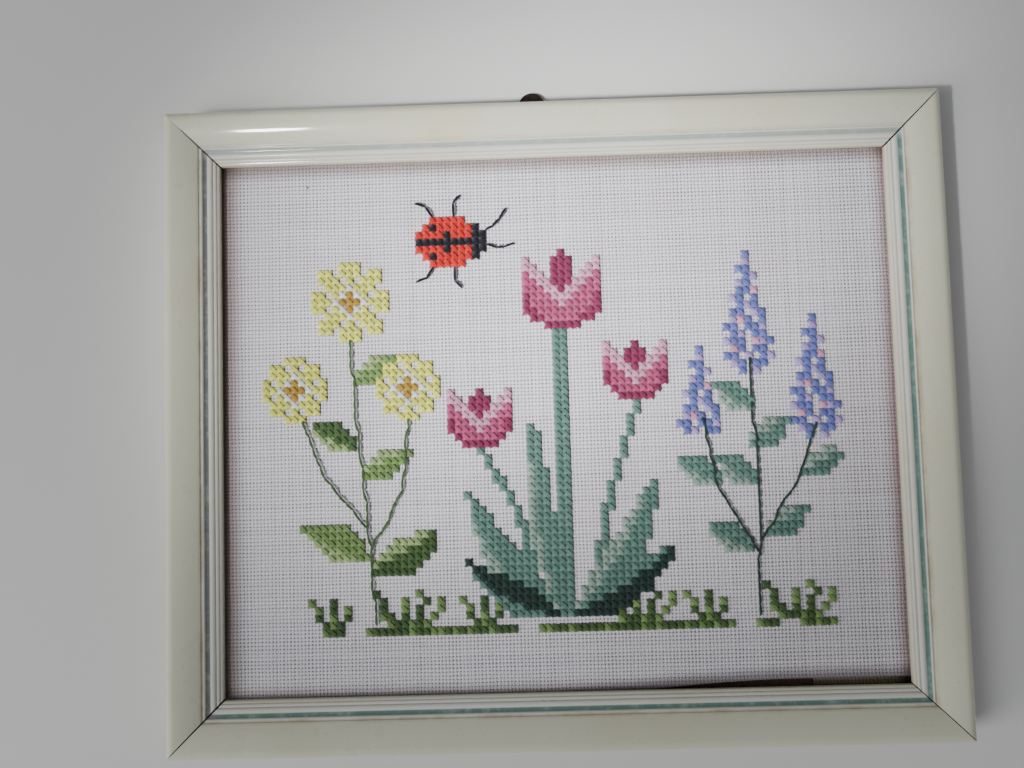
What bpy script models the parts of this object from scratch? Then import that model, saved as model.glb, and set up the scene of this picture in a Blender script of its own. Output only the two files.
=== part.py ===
"""Framed embroidery: linen stretched over card, held in a mitred picture frame.

The frame lies on its back, face up. X runs across the picture, Y runs up it and Z comes out of its
face, with the frame's back on Z = 0. Sizes are metres.
"""
import math
from collections import namedtuple

import bmesh
import bpy
from mathutils import Matrix

# Whole frame
FRAME_WIDTH = 0.277
FRAME_HEIGHT = 0.2275
MOULDING_WIDTH = 0.0188
FIT_GAP = 0.0003

# Back of the moulding: the rebate that takes the picture
REBATE_WIDTH = 0.0083
REBATE_DEPTH = 0.0094
WALL_WIDTH = MOULDING_WIDTH - REBATE_WIDTH

# Face of the moulding, from its outer wall inward; bulge is how far an arc stands off its chord
OUTER_WALL_HEIGHT = 0.0152
Reach = namedtuple("Reach", "name end_in end_height bulge steps")
MOULDING_FACE = (
    Reach("outer shoulder", 0.0030, 0.0179, 0.00080, 6),
    Reach("inner dome", 0.0119, 0.0150, 0.00050, 6),
    Reach("groove", 0.0128, 0.0146, -0.00040, 3),
    Reach("fillet", 0.0132, 0.0144, 0.00010, 2),
    Reach("painted cove", 0.0149, 0.0135, -0.00040, 3),
    Reach("first bead", 0.0167, 0.0127, 0.00055, 4),
    Reach("second bead", 0.0179, 0.0121, 0.00040, 4),
    Reach("sight edge", 0.0188, 0.0113, 0.00022, 2),
)

# Corners: the mitre's gap at its outer and inner ends, and how far its tip is worn off along X and Y
Corner = namedtuple("Corner", "side_x side_y outer_gap inner_gap blunt_x blunt_y")
CORNERS = {
    "top_left": Corner(-1, 1, 0.00030, 0.00050, 0.0019, 0.0011),
    "top_right": Corner(1, 1, 0.00030, 0.00060, 0.0020, 0.0014),
    "bottom_left": Corner(-1, -1, 0.00030, 0.00065, 0.0018, 0.0017),
    "bottom_right": Corner(1, -1, 0.00030, 0.00035, 0.0005, 0.0005),
}

# Rails: each has its outer edge on its own X axis and its width towards its own -Y; pins_off is how
# far its two pins sit to either side of its middle
Rail = namedtuple("Rail", "name length place turn start_corner end_corner pins_off")
RAILS = (
    Rail("rail_top", FRAME_WIDTH, (0, FRAME_HEIGHT / 2), 0, "top_left", "top_right", 0.075),
    Rail("stile_left", FRAME_HEIGHT, (-FRAME_WIDTH / 2, 0), 90, "bottom_left", "top_left", 0.05),
    Rail("rail_bottom", FRAME_WIDTH, (0, -FRAME_HEIGHT / 2), 180, "bottom_right", "bottom_left", 0.075),
    Rail("stile_right", FRAME_HEIGHT, (FRAME_WIDTH / 2, 0), 270, "top_right", "bottom_right", 0.05),
)

# Backing board, held by pins that are driven sideways into the rebate's wall
BOARD_WIDTH = 0.254
BOARD_HEIGHT = 0.204
BOARD_THICKNESS = 0.0024
BOARD_BACK = 0.0022
BOARD_BEVEL = 0.0003
PIN_HEIGHT = 0.001
PIN_RADIUS = 0.0006
PIN_HEAD_RADIUS = 0.0009
PIN_HEAD_THICKNESS = 0.0006
PIN_SHOWING = 0.006
PIN_BURIED = 0.006
ROUND_STEPS = 8

# Linen: a sheet that is stretched over the card, turned down at its edges and returned behind it
CLOTH_WIDTH = 0.2548
CLOTH_HEIGHT = 0.2045
CLOTH_THICKNESS = 0.001
CLOTH_FRONT_HEIGHT = 0.0086
CLOTH_CROWN = 0.0006
CLOTH_COLUMNS = 24
CLOTH_ROWS = 18
SLACK_HEIGHT = 0.00018
SLACK_LENGTH = 0.058

# The cloth's turned edge, a row for each ring: inset from the outline, height of the sheet's middle
Ring = namedtuple("Ring", "inset height")
TURNED_EDGE = (
    Ring(0.0014, CLOTH_FRONT_HEIGHT),
    Ring(0.0006, 0.0081),
    Ring(0.0005, 0.0070),
    Ring(0.0007, 0.0059),
    Ring(0.0014, 0.0054),
    Ring(0.0150, 0.0054),
)

# The lower edge is cut short towards the right, where the fold shows inside the frame
SHORT_START = -0.06
SHORT_FULL = 0.08
SHORT_RISE = 0.0089

# Turned-under layer that sticks out of the fold at the lower right
TONGUE_LEFT = 0.087
TONGUE_RIGHT = 0.1255
TONGUE_BOTTOM = -0.099
TONGUE_TOP = -0.088
TONGUE_THICKNESS = 0.0008
TONGUE_HEIGHT = 0.0054

# Card inside the cloth
CARD_INSET = 0.0015
CARD_BACK = 0.0062
CARD_THICKNESS = 0.0016

# Hanging plate, let into the back of the top rail
HANGER_X = -0.006
HANGER_EYE_OUT = 0.0033
HANGER_HEAD_RADIUS = 0.0048
HANGER_HOLE_RADIUS = 0.0018
HANGER_DISH_RADIUS = 0.0031
HANGER_DISH_DEPTH = 0.0005
HANGER_HALF_BODY = 0.0038
HANGER_LOW = -0.0092
HANGER_CORNER = 0.0015
HANGER_BACK = 0.001
HANGER_THICKNESS = 0.001
HANGER_HEAD_STEPS = 20
HANGER_CORNER_STEPS = 3
HANGER_REACH = HANGER_EYE_OUT + HANGER_HEAD_RADIUS
RECESS_DEPTH = HANGER_BACK + HANGER_THICKNESS + FIT_GAP

# Tacks that hold the plate, by how far below the rail's outer edge they sit
TACKS_AT = (-0.0024, -0.0066)
TACK_RADIUS = 0.0006
TACK_HEAD_RADIUS = 0.0015
TACK_HEAD_THICKNESS = 0.0005
TACK_BURIED = 0.006

# Working allowances: how far cutters run past what they cut, and the welding of turned poles
CUT_PAST = 0.002
GAUGE_RUN = 2.0
WELD = 0.00001
SMOOTH_ANGLE = math.radians(32)


def clear_scene():
    """Remove every object, so that the file holds only this model."""
    for old in list(bpy.data.objects):
        bpy.data.objects.remove(old, do_unlink=True)


def make_material(name, color, roughness, metallic=0.0):
    """A plain surface of one colour."""
    material = bpy.data.materials.new(name)
    material.use_nodes = True
    shader = material.node_tree.nodes["Principled BSDF"]
    shader.inputs["Base Color"].default_value = (*color, 1.0)
    shader.inputs["Roughness"].default_value = roughness
    shader.inputs["Metallic"].default_value = metallic
    return material


def finish_object(name, bm, material, parent, smooth=True):
    """Turn a bmesh into an object under its parent, with smooth round faces and sharp edges."""
    bmesh.ops.recalc_face_normals(bm, faces=bm.faces)
    mesh = bpy.data.meshes.new(name)
    bm.to_mesh(mesh)
    bm.free()
    if smooth:
        mesh.shade_smooth()
        mesh.set_sharp_from_angle(angle=SMOOTH_ANGLE)
    made = bpy.data.objects.new(name, mesh)
    bpy.context.scene.collection.objects.link(made)
    made.parent = parent
    if material is not None:
        mesh.materials.append(material)
    return made


def finish_cutter(name, bm, parent):
    """A shape that only cuts others and isn't part of the model."""
    cutter = finish_object(name, bm, None, parent, smooth=False)
    cutter.hide_render = True
    cutter.display_type = "WIRE"
    return cutter


def add_boolean(target, cutter, operation):
    """Cut, keep or join one shape with another."""
    modifier = target.modifiers.new(cutter.name, "BOOLEAN")
    modifier.operation = operation
    modifier.object = cutter
    modifier.solver = "EXACT"


def arc_points(start, end, bulge, steps):
    """Points after the start of an arc that stands off its chord by bulge, to the left of its run."""
    run = (end[0] - start[0], end[1] - start[1])
    chord = math.hypot(*run)
    along = (run[0] / chord, run[1] / chord)
    radius = (chord * chord / 4 + bulge * bulge) / (2 * bulge)
    half_angle = math.asin(chord / (2 * radius))
    points = []
    for step in range(1, steps + 1):
        angle = half_angle * (2 * step / steps - 1)
        forward = chord / 2 + radius * math.sin(angle)
        off = radius * math.cos(angle) - (radius - bulge)
        points.append((start[0] + along[0] * forward - along[1] * off,
                       start[1] + along[1] * forward + along[0] * off))
    return points


def moulding_profile():
    """The moulding's section, as distances in from the outer wall and heights above the back."""
    profile = [(0.0, 0.0), (0.0, OUTER_WALL_HEIGHT)]
    for reach in MOULDING_FACE:
        profile += arc_points(profile[-1], (reach.end_in, reach.end_height), reach.bulge, reach.steps)
    profile.append((MOULDING_WIDTH, REBATE_DEPTH))
    profile.append((WALL_WIDTH, REBATE_DEPTH))
    profile.append((WALL_WIDTH, 0.0))
    return profile


def mitre_set_back(inward, corner):
    """How far a rail's end stands back from the frame's corner, at a distance in from its outer wall."""
    share = inward / MOULDING_WIDTH
    gap = corner.outer_gap + (corner.inner_gap - corner.outer_gap) * share
    return inward + gap / math.sqrt(2)


def make_rail(rail, material, parent):
    """One mitred length of moulding, extruded from its own start to its end."""
    bm = bmesh.new()
    start_corner = CORNERS[rail.start_corner]
    end_corner = CORNERS[rail.end_corner]
    section = []
    for inward, height in moulding_profile():
        set_back = mitre_set_back(inward, start_corner)
        section.append(bm.verts.new((set_back - rail.length / 2, -inward, height)))
    end_face = bm.faces.new(section)
    extruded = bmesh.ops.extrude_face_region(bm, geom=[end_face])["geom"]
    for element in extruded:
        if isinstance(element, bmesh.types.BMVert):
            element.co.x = rail.length / 2 - mitre_set_back(-element.co.y, end_corner)
    made = finish_object(rail.name, bm, material, parent)
    made.location = (*rail.place, 0.0)
    made.rotation_euler.z = math.radians(rail.turn)
    return made


def make_corner_gauge(parent):
    """A tall outline just outside the frame that takes off the worn tips of its corners."""
    outline = []
    for name in ("bottom_left", "bottom_right", "top_right", "top_left"):
        corner = CORNERS[name]
        on_rail = (corner.side_x * (FRAME_WIDTH / 2 - corner.blunt_x), corner.side_y * FRAME_HEIGHT / 2)
        on_stile = (corner.side_x * FRAME_WIDTH / 2, corner.side_y * (FRAME_HEIGHT / 2 - corner.blunt_y))
        run = (on_stile[0] - on_rail[0], on_stile[1] - on_rail[1])
        past_rail = (on_rail[0] - GAUGE_RUN * run[0], on_rail[1] - GAUGE_RUN * run[1])
        past_stile = (on_stile[0] + GAUGE_RUN * run[0], on_stile[1] + GAUGE_RUN * run[1])
        pair = [past_rail, past_stile]
        if corner.side_x * corner.side_y > 0:
            pair.reverse()
        outline += pair
    bm = bmesh.new()
    floor = bm.faces.new([bm.verts.new((x, y, -CUT_PAST)) for x, y in outline])
    extruded = bmesh.ops.extrude_face_region(bm, geom=[floor])["geom"]
    lifted = [element for element in extruded if isinstance(element, bmesh.types.BMVert)]
    top = max(reach.end_height for reach in MOULDING_FACE)
    bmesh.ops.translate(bm, verts=lifted, vec=(0, 0, top + 2 * CUT_PAST))
    return finish_cutter("corner_gauge", bm, parent)


def turned_shape(profile, steps):
    """A bmesh turned about its Z axis from radii and heights, closed at both poles."""
    bm = bmesh.new()
    verts = [bm.verts.new((radius, 0, height)) for radius, height in profile]
    edges = [bm.edges.new(pair) for pair in zip(verts, verts[1:])]
    bmesh.ops.spin(bm, geom=verts + edges, cent=(0, 0, 0), axis=(0, 0, 1), angle=math.tau, steps=steps,
                   use_merge=True)
    bmesh.ops.remove_doubles(bm, verts=bm.verts, dist=WELD)
    return bm


def nail_profile(radius, head_radius, head_thickness, length):
    """A nail with its head's top at 0 and its shank running down to a short point."""
    point = 2 * radius
    return ((0, 0), (head_radius, 0), (head_radius, -head_thickness), (radius, -head_thickness),
            (radius, point - length), (0, -length))


def pin_matrix(rail, along):
    """Turns an upright nail so that it lies on the board's back and points into the rail's wall."""
    world = Matrix.Translation((*rail.place, 0.0)) @ Matrix.Rotation(math.radians(rail.turn), 4, "Z")
    head = Matrix.Translation((along, -WALL_WIDTH - PIN_SHOWING, PIN_HEIGHT))
    return world @ head @ Matrix.Rotation(math.pi / 2, 4, "X")


def make_pins(material, parent):
    """The pins that hold the backing board in the rebate."""
    number = 0
    for rail in RAILS:
        for along in (-rail.pins_off, rail.pins_off):
            number += 1
            length = PIN_SHOWING + PIN_BURIED
            profile = nail_profile(PIN_RADIUS, PIN_HEAD_RADIUS, PIN_HEAD_THICKNESS, length)
            bm = turned_shape(profile, ROUND_STEPS)
            bmesh.ops.transform(bm, matrix=pin_matrix(rail, along), verts=bm.verts)
            finish_object("back_pin_%d" % number, bm, material, parent)


def make_bores(rail, parent):
    """The holes in a rail: one for each pin and, in the top rail, one for each tack."""
    bm = bmesh.new()
    bore_radius = PIN_RADIUS + FIT_GAP
    depth = 2 * (PIN_BURIED + FIT_GAP)
    for along in (-rail.pins_off, rail.pins_off):
        place = Matrix.Translation((along, -WALL_WIDTH, PIN_HEIGHT)) @ Matrix.Rotation(math.pi / 2, 4, "X")
        bmesh.ops.create_cone(bm, cap_ends=True, segments=ROUND_STEPS, radius1=bore_radius,
                              radius2=bore_radius, depth=depth, matrix=place)
    if rail.name == "rail_top":
        tack_bore = TACK_RADIUS + FIT_GAP
        tack_depth = 2 * (HANGER_BACK + TACK_BURIED)
        for below in TACKS_AT:
            place = Matrix.Translation((HANGER_X, below, 0))
            bmesh.ops.create_cone(bm, cap_ends=True, segments=ROUND_STEPS, radius1=tack_bore,
                                  radius2=tack_bore, depth=tack_depth, matrix=place)
    cutter = finish_cutter("bores_" + rail.name, bm, parent)
    cutter.location = (*rail.place, 0.0)
    cutter.rotation_euler.z = math.radians(rail.turn)
    return cutter


def make_recess(parent):
    """The pocket in the back of the top rail that the hanging plate sits in."""
    width = 2 * (HANGER_HEAD_RADIUS + FIT_GAP)
    low = HANGER_LOW - FIT_GAP
    bm = bmesh.new()
    bmesh.ops.create_cube(bm, size=1.0)
    bmesh.ops.scale(bm, vec=(width, CUT_PAST - low, 2 * RECESS_DEPTH), verts=bm.verts)
    bmesh.ops.translate(bm, vec=(HANGER_X, FRAME_HEIGHT / 2 + (CUT_PAST + low) / 2, 0), verts=bm.verts)
    return finish_cutter("hanger_recess", bm, parent)


def hanger_outline():
    """Round head and straight body of the hanging plate, anticlockwise, from the rail's outer edge."""
    side = math.acos(HANGER_HALF_BODY / HANGER_HEAD_RADIUS)
    points = []
    for step in range(HANGER_HEAD_STEPS + 1):
        angle = -side + (math.pi + 2 * side) * step / HANGER_HEAD_STEPS
        points.append((HANGER_HEAD_RADIUS * math.cos(angle),
                       HANGER_EYE_OUT + HANGER_HEAD_RADIUS * math.sin(angle)))
    for side_x, first_angle in ((-1, math.pi), (1, 1.5 * math.pi)):
        centre_x = side_x * (HANGER_HALF_BODY - HANGER_CORNER)
        centre_y = HANGER_LOW + HANGER_CORNER
        for step in range(HANGER_CORNER_STEPS + 1):
            angle = first_angle + math.pi / 2 * step / HANGER_CORNER_STEPS
            points.append((centre_x + HANGER_CORNER * math.cos(angle),
                           centre_y + HANGER_CORNER * math.sin(angle)))
    return points


def make_hanger(material, parent):
    """The metal plate with its dished eye, by which the frame hangs."""
    edge = FRAME_HEIGHT / 2
    bm = bmesh.new()
    outline = [bm.verts.new((HANGER_X + x, edge + y, HANGER_BACK)) for x, y in hanger_outline()]
    extruded = bmesh.ops.extrude_face_region(bm, geom=[bm.faces.new(outline)])["geom"]
    lifted = [element for element in extruded if isinstance(element, bmesh.types.BMVert)]
    bmesh.ops.translate(bm, verts=lifted, vec=(0, 0, HANGER_THICKNESS))
    plate = finish_object("hanger_plate", bm, material, parent)

    front = HANGER_BACK + HANGER_THICKNESS
    slope = (HANGER_DISH_RADIUS - HANGER_HOLE_RADIUS) / HANGER_DISH_DEPTH
    eye = turned_shape(((0, HANGER_BACK - CUT_PAST), (HANGER_HOLE_RADIUS, HANGER_BACK - CUT_PAST),
                        (HANGER_HOLE_RADIUS, front - HANGER_DISH_DEPTH),
                        (HANGER_DISH_RADIUS + slope * CUT_PAST, front + CUT_PAST),
                        (0, front + CUT_PAST)), 2 * ROUND_STEPS)
    bmesh.ops.translate(eye, vec=(HANGER_X, edge + HANGER_EYE_OUT, 0), verts=eye.verts)
    add_boolean(plate, finish_cutter("hanger_eye", eye, parent), "DIFFERENCE")

    holes = bmesh.new()
    hole_radius = TACK_RADIUS + FIT_GAP
    for below in TACKS_AT:
        place = Matrix.Translation((HANGER_X, edge + below, HANGER_BACK))
        bmesh.ops.create_cone(holes, cap_ends=True, segments=ROUND_STEPS, radius1=hole_radius,
                              radius2=hole_radius, depth=2 * (HANGER_THICKNESS + CUT_PAST), matrix=place)
    add_boolean(plate, finish_cutter("hanger_tack_holes", holes, parent), "DIFFERENCE")


def make_tacks(material, parent):
    """The tacks that hold the hanging plate, with their heads clear of the surface behind."""
    head_bottom = HANGER_BACK - FIT_GAP
    for number, below in enumerate(TACKS_AT, start=1):
        length = HANGER_BACK + TACK_BURIED - 2 * FIT_GAP
        profile = nail_profile(TACK_RADIUS, TACK_HEAD_RADIUS, TACK_HEAD_THICKNESS, length)
        bm = turned_shape(profile, ROUND_STEPS)
        upright = Matrix.Rotation(math.pi, 4, "X")
        place = Matrix.Translation((HANGER_X, FRAME_HEIGHT / 2 + below, head_bottom - TACK_HEAD_THICKNESS))
        bmesh.ops.transform(bm, matrix=place @ upright, verts=bm.verts)
        finish_object("hanger_tack_%d" % number, bm, material, parent)


def make_board(material, parent):
    """The hardboard behind the picture."""
    bm = bmesh.new()
    bmesh.ops.create_cube(bm, size=1.0)
    bmesh.ops.scale(bm, vec=(BOARD_WIDTH, BOARD_HEIGHT, BOARD_THICKNESS), verts=bm.verts)
    bmesh.ops.translate(bm, vec=(0, 0, BOARD_BACK + BOARD_THICKNESS / 2), verts=bm.verts)
    bmesh.ops.bevel(bm, geom=bm.edges, offset=BOARD_BEVEL, segments=1, profile=0.5, affect="EDGES",
                    material=-1)
    finish_object("back_board", bm, material, parent, smooth=False)


def lower_edge(x):
    """Height up the picture of the cloth's lower edge, which rises where the cloth is cut short."""
    share = min(max((x - SHORT_START) / (SHORT_FULL - SHORT_START), 0.0), 1.0)
    return SHORT_RISE * share * share * (3 - 2 * share) - CLOTH_HEIGHT / 2


def spread_grid(bm, columns, rows, inset):
    """A grid whose outline is the cloth's own, drawn in by inset all round."""
    bmesh.ops.create_grid(bm, x_segments=columns, y_segments=rows, size=1.0)
    for vert in bm.verts:
        x = vert.co.x * (CLOTH_WIDTH / 2 - inset)
        low = lower_edge(x) + inset
        high = CLOTH_HEIGHT / 2 - inset
        vert.co.x = x
        vert.co.y = low + (high - low) * (vert.co.y + 1) / 2


def cloth_lift(x, y):
    """How far the stretched cloth stands off its card, in a low crown with slack waves at its foot."""
    half_x = FRAME_WIDTH / 2 - MOULDING_WIDTH
    half_y = FRAME_HEIGHT / 2 - MOULDING_WIDTH
    inside_x = max(0.0, 1 - (x / half_x) ** 2)
    inside_y = max(0.0, 1 - (y / half_y) ** 2)
    slack = SLACK_HEIGHT * math.sin(math.tau * x / SLACK_LENGTH) * (1 - y / half_y)
    return (CLOTH_CROWN + slack) * inside_x * inside_y


def make_linen(material, parent):
    """The embroidered linen, as one sheet with its edges turned behind the card."""
    bm = bmesh.new()
    first = TURNED_EDGE[0]
    spread_grid(bm, CLOTH_COLUMNS, CLOTH_ROWS, first.inset)
    for vert in bm.verts:
        vert.co.z = first.height + cloth_lift(vert.co.x, vert.co.y)
    previous = first
    for ring in TURNED_EDGE[1:]:
        rim = [edge for edge in bm.edges if edge.is_boundary]
        extruded = bmesh.ops.extrude_edge_only(bm, edges=rim)["geom"]
        moved = [element for element in extruded if isinstance(element, bmesh.types.BMVert)]
        scale_x = (CLOTH_WIDTH / 2 - ring.inset) / (CLOTH_WIDTH / 2 - previous.inset)
        scale_y = (CLOTH_HEIGHT / 2 - ring.inset) / (CLOTH_HEIGHT / 2 - previous.inset)
        for vert in moved:
            vert.co.x *= scale_x
            vert.co.y *= scale_y
            vert.co.z = ring.height
        previous = ring
    linen = finish_object("linen", bm, material, parent)
    thickness = linen.modifiers.new("thickness", "SOLIDIFY")
    thickness.thickness = CLOTH_THICKNESS
    thickness.offset = 0.0
    thickness.use_even_offset = True

    tongue = bmesh.new()
    bmesh.ops.create_cube(tongue, size=1.0)
    bmesh.ops.scale(tongue, vec=(TONGUE_RIGHT - TONGUE_LEFT, TONGUE_TOP - TONGUE_BOTTOM, TONGUE_THICKNESS),
                    verts=tongue.verts)
    bmesh.ops.translate(tongue, vec=((TONGUE_RIGHT + TONGUE_LEFT) / 2, (TONGUE_TOP + TONGUE_BOTTOM) / 2,
                                     TONGUE_HEIGHT), verts=tongue.verts)
    add_boolean(linen, finish_cutter("turned_tongue", tongue, parent), "UNION")


def make_card(material, parent):
    """The card that the linen is stretched over, with the same short corner."""
    bm = bmesh.new()
    spread_grid(bm, CLOTH_COLUMNS, 1, CARD_INSET)
    bmesh.ops.translate(bm, vec=(0, 0, CARD_BACK), verts=bm.verts)
    extruded = bmesh.ops.extrude_face_region(bm, geom=list(bm.faces))["geom"]
    lifted = [element for element in extruded if isinstance(element, bmesh.types.BMVert)]
    bmesh.ops.translate(bm, verts=lifted, vec=(0, 0, CARD_THICKNESS))
    finish_object("mount_card", bm, material, parent, smooth=False)


def main():
    """Build every piece under one empty at the middle of the frame."""
    clear_scene()
    centre = bpy.data.objects.new("frame_centre", None)
    centre.location = (0, -HANGER_REACH / 2, 0)
    bpy.context.scene.collection.objects.link(centre)

    lacquer = make_material("ivory_lacquer", (0.60, 0.60, 0.50), 0.28)
    linen = make_material("white_linen", (0.62, 0.58, 0.57), 0.9)
    card = make_material("grey_card", (0.48, 0.45, 0.40), 0.85)
    hardboard = make_material("brown_hardboard", (0.16, 0.09, 0.045), 0.8)
    bronze = make_material("dark_bronze", (0.09, 0.06, 0.05), 0.4, 0.9)
    steel = make_material("pin_steel", (0.35, 0.34, 0.33), 0.35, 1.0)

    gauge = make_corner_gauge(centre)
    recess = make_recess(centre)
    for rail in RAILS:
        made = make_rail(rail, lacquer, centre)
        add_boolean(made, gauge, "INTERSECT")
        if rail.name == "rail_top":
            add_boolean(made, recess, "DIFFERENCE")
        add_boolean(made, make_bores(rail, centre), "DIFFERENCE")

    make_linen(linen, centre)
    make_card(card, centre)
    make_board(hardboard, centre)
    make_pins(steel, centre)
    make_hanger(bronze, centre)
    make_tacks(steel, centre)
    bpy.context.view_layer.update()


main()
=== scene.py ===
"""Looks of a framed embroidery: lacquered moulding, stretched linen, cotton stitches and hanging plate.

The frame lies on its back, face up. X runs across the picture, Y runs up it and Z comes out of its
face. Sizes are metres. Places on the cloth are counted in threads from the middle of the picture.
"""

import math
from collections import namedtuple

import bmesh
import bpy
from mathutils import Matrix, Vector


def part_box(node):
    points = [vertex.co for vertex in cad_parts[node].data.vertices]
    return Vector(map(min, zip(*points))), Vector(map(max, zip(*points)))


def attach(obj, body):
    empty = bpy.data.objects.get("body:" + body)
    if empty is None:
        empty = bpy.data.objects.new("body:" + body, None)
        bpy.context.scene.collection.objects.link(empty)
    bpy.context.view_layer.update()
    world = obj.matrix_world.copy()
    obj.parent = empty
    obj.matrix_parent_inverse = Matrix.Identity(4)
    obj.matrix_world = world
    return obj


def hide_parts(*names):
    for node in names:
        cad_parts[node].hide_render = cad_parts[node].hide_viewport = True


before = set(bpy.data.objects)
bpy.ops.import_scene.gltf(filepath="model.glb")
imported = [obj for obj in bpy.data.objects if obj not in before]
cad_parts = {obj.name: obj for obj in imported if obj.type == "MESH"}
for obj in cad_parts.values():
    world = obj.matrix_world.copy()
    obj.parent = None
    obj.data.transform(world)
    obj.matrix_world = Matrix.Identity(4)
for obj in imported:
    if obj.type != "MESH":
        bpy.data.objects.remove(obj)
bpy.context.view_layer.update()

bl_info = {
    "name": "Framed embroidery",
    "version": (1, 0, 0),
    "blender": (4, 5, 0),
    "location": "3D View > Sidebar > Embroidery",
    "description": "Dresses a framed piece of embroidered linen",
    "category": "Object",
}

BODY = "root"

# Whole frame, read from the fitted solids
HALF_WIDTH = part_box("stile_right")[1].x
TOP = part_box("rail_top")[1].y
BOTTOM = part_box("rail_bottom")[0].y
HALF_HEIGHT = (TOP - BOTTOM) / 2
MIDDLE_Y = (TOP + BOTTOM) / 2
MOULDING_WIDTH = 0.0188
OPENING_X = HALF_WIDTH - MOULDING_WIDTH
OPENING_Y = HALF_HEIGHT - MOULDING_WIDTH

# Back of the moulding: the rebate that takes the picture
REBATE_DEPTH = 0.0094
WALL_WIDTH = 0.0105
OUTER_WALL_HEIGHT = 0.0152

# Face of the moulding, from its outer wall inward; bulge is how far an arc stands off its chord
Reach = namedtuple("Reach", "name end_in end_height bulge steps")
MOULDING_FACE = (
    Reach("outer shoulder", 0.0030, 0.0179, 0.00080, 14),
    Reach("inner dome", 0.0119, 0.0150, 0.00050, 14),
    Reach("groove", 0.0128, 0.0146, -0.00040, 6),
    Reach("fillet", 0.0132, 0.0144, 0.00010, 4),
    Reach("painted cove", 0.0149, 0.0135, -0.00040, 7),
    Reach("first bead", 0.0167, 0.0127, 0.00055, 9),
    Reach("second bead", 0.0179, 0.0121, 0.00040, 8),
    Reach("sight edge", 0.0188, 0.0113, 0.00022, 4),
)

# Corners: the mitre's gap at its outer and inner ends, and how far its tip is worn off along X and Y
Corner = namedtuple("Corner", "side_x side_y outer_gap inner_gap blunt_x blunt_y")
CORNERS = {
    "top_left": Corner(-1, 1, 0.00030, 0.00050, 0.0019, 0.0011),
    "top_right": Corner(1, 1, 0.00030, 0.00060, 0.0020, 0.0014),
    "bottom_left": Corner(-1, -1, 0.00030, 0.00065, 0.0018, 0.0017),
    "bottom_right": Corner(1, -1, 0.00030, 0.00035, 0.0005, 0.0005),
}

# Rails: each is modelled with its outer edge on X and its width towards -Y, then turned into place
Rail = namedtuple("Rail", "name node half_length turn start_corner end_corner pins_off")
RAILS = (
    Rail("moulding_top", "rail_top", HALF_WIDTH, 0, "top_left", "top_right", 0.075),
    Rail("moulding_left", "stile_left", HALF_HEIGHT, 90, "bottom_left", "top_left", 0.05),
    Rail("moulding_bottom", "rail_bottom", HALF_WIDTH, 180, "bottom_right", "bottom_left", 0.075),
    Rail("moulding_right", "stile_right", HALF_HEIGHT, 270, "top_right", "bottom_right", 0.05),
)
RAIL_CUTS = 3

# How much smaller a rail's ends are laid out in its map than its sides
CAP_SHRINK = 0.6

# Middle of the painted band, in from the outer wall, and where it lies on the left and top rails
BAND_IN = 0.01405
BAND_X = BAND_IN - HALF_WIDTH
BAND_Y = HALF_HEIGHT - BAND_IN
BAND_EDGE = 0.0006
BAND_FADE_X = 0.006
BAND_FADE_Y = 0.004

# Paint across the moulding's face, as shares of its width, and how the bands fade in and out; the lines
# between the beads are dirt and painted shade
BLACK = (0.0, 0.0, 0.0)
WHITE = (1.0, 1.0, 1.0)
PAINT_STOPS = (
    (0.0, "lacquer"), (0.63, "lacquer"), (0.69, "bead"), (0.875, "bead"), (0.888, "line"),
    (0.901, "bead"), (0.940, "bead"), (0.952, "line"), (0.966, "lacquer"),
)
GROOVE_STOPS = ((0.585, BLACK), (0.645, WHITE), (0.675, WHITE), (0.700, BLACK))
BAND_STOPS = ((0.703, BLACK), (0.716, WHITE), (0.780, WHITE), (0.796, BLACK))

# Linen: its size, its slack, its threads, and where its lower edge rises because it is cut short
CLOTH_WIDTH = 0.2548
CLOTH_HEIGHT = 0.2045
CLOTH_THICKNESS = 0.001
CLOTH_CROWN = 0.0006
SLACK_HEIGHT = 0.00018
SLACK_LENGTH = 0.058
PITCH_X = 0.00127
PITCH_Y = 0.001305
THREADS_X = 200
THREADS_Y = 156
THREAD_RISE = 0.00004
DRIFT_TURN_X = 0.31
DRIFT_TURN_Y = 0.27
SHORT_START = -0.06
SHORT_FULL = 0.08
SHORT_RISE = 0.0089

# The cloth's edge, turned round its card, and the turned-under layer that sticks out of its fold
Ring = namedtuple("Ring", "inset height")
TURNED_EDGE = (
    Ring(0.0014, 0.0086),
    Ring(0.0006, 0.0081),
    Ring(0.0005, 0.0070),
    Ring(0.0007, 0.0059),
    Ring(0.0014, 0.0054),
    Ring(0.0150, 0.0054),
)
TONGUE_LOW = (0.087, -0.099, 0.0050)
TONGUE_HIGH = (0.1255, -0.088, 0.0058)
TONGUE_FOLD = -0.01

# Creases where the cloth was once folded: place, half width, how far it stands or sinks
Crease = namedtuple("Crease", "place half_width rise")
UPRIGHT_CREASE = Crease(0.0014, 0.0016, -0.00016)
LEVEL_CREASE = Crease(-0.0455, 0.0016, 0.00014)

# Map of a thin piece: its front fills it, and its underside is laid out small above that
MAP_ROOM = 1.25
UNDER_START = 0.82
UNDER_WIDTH = 0.24
UNDER_HEIGHT = 0.2

# Dirt and painted shade along the cloth's edges, where the frame's lip shades the cloth: how far in it
# reaches, how strong it is, and its tint
Soil = namedtuple("Soil", "edge reach strength tint")
SOILS_AND_SHADE = (
    Soil("left", 0.0095, 0.95, "brown_soil"),
    Soil("left", 0.0020, 0.60, "brown_soil"),
    Soil("top", 0.0070, 0.85, "brown_soil"),
    Soil("right", 0.0052, 0.80, "red_soil"),
    Soil("bottom", 0.0050, 0.60, "brown_soil"),
)
# Painted shade and dirt along the fold of the short edge: how far up it reaches and how strong it is
FOLD_REACH = 0.0052
FOLD_STRENGTH = 0.62

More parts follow.
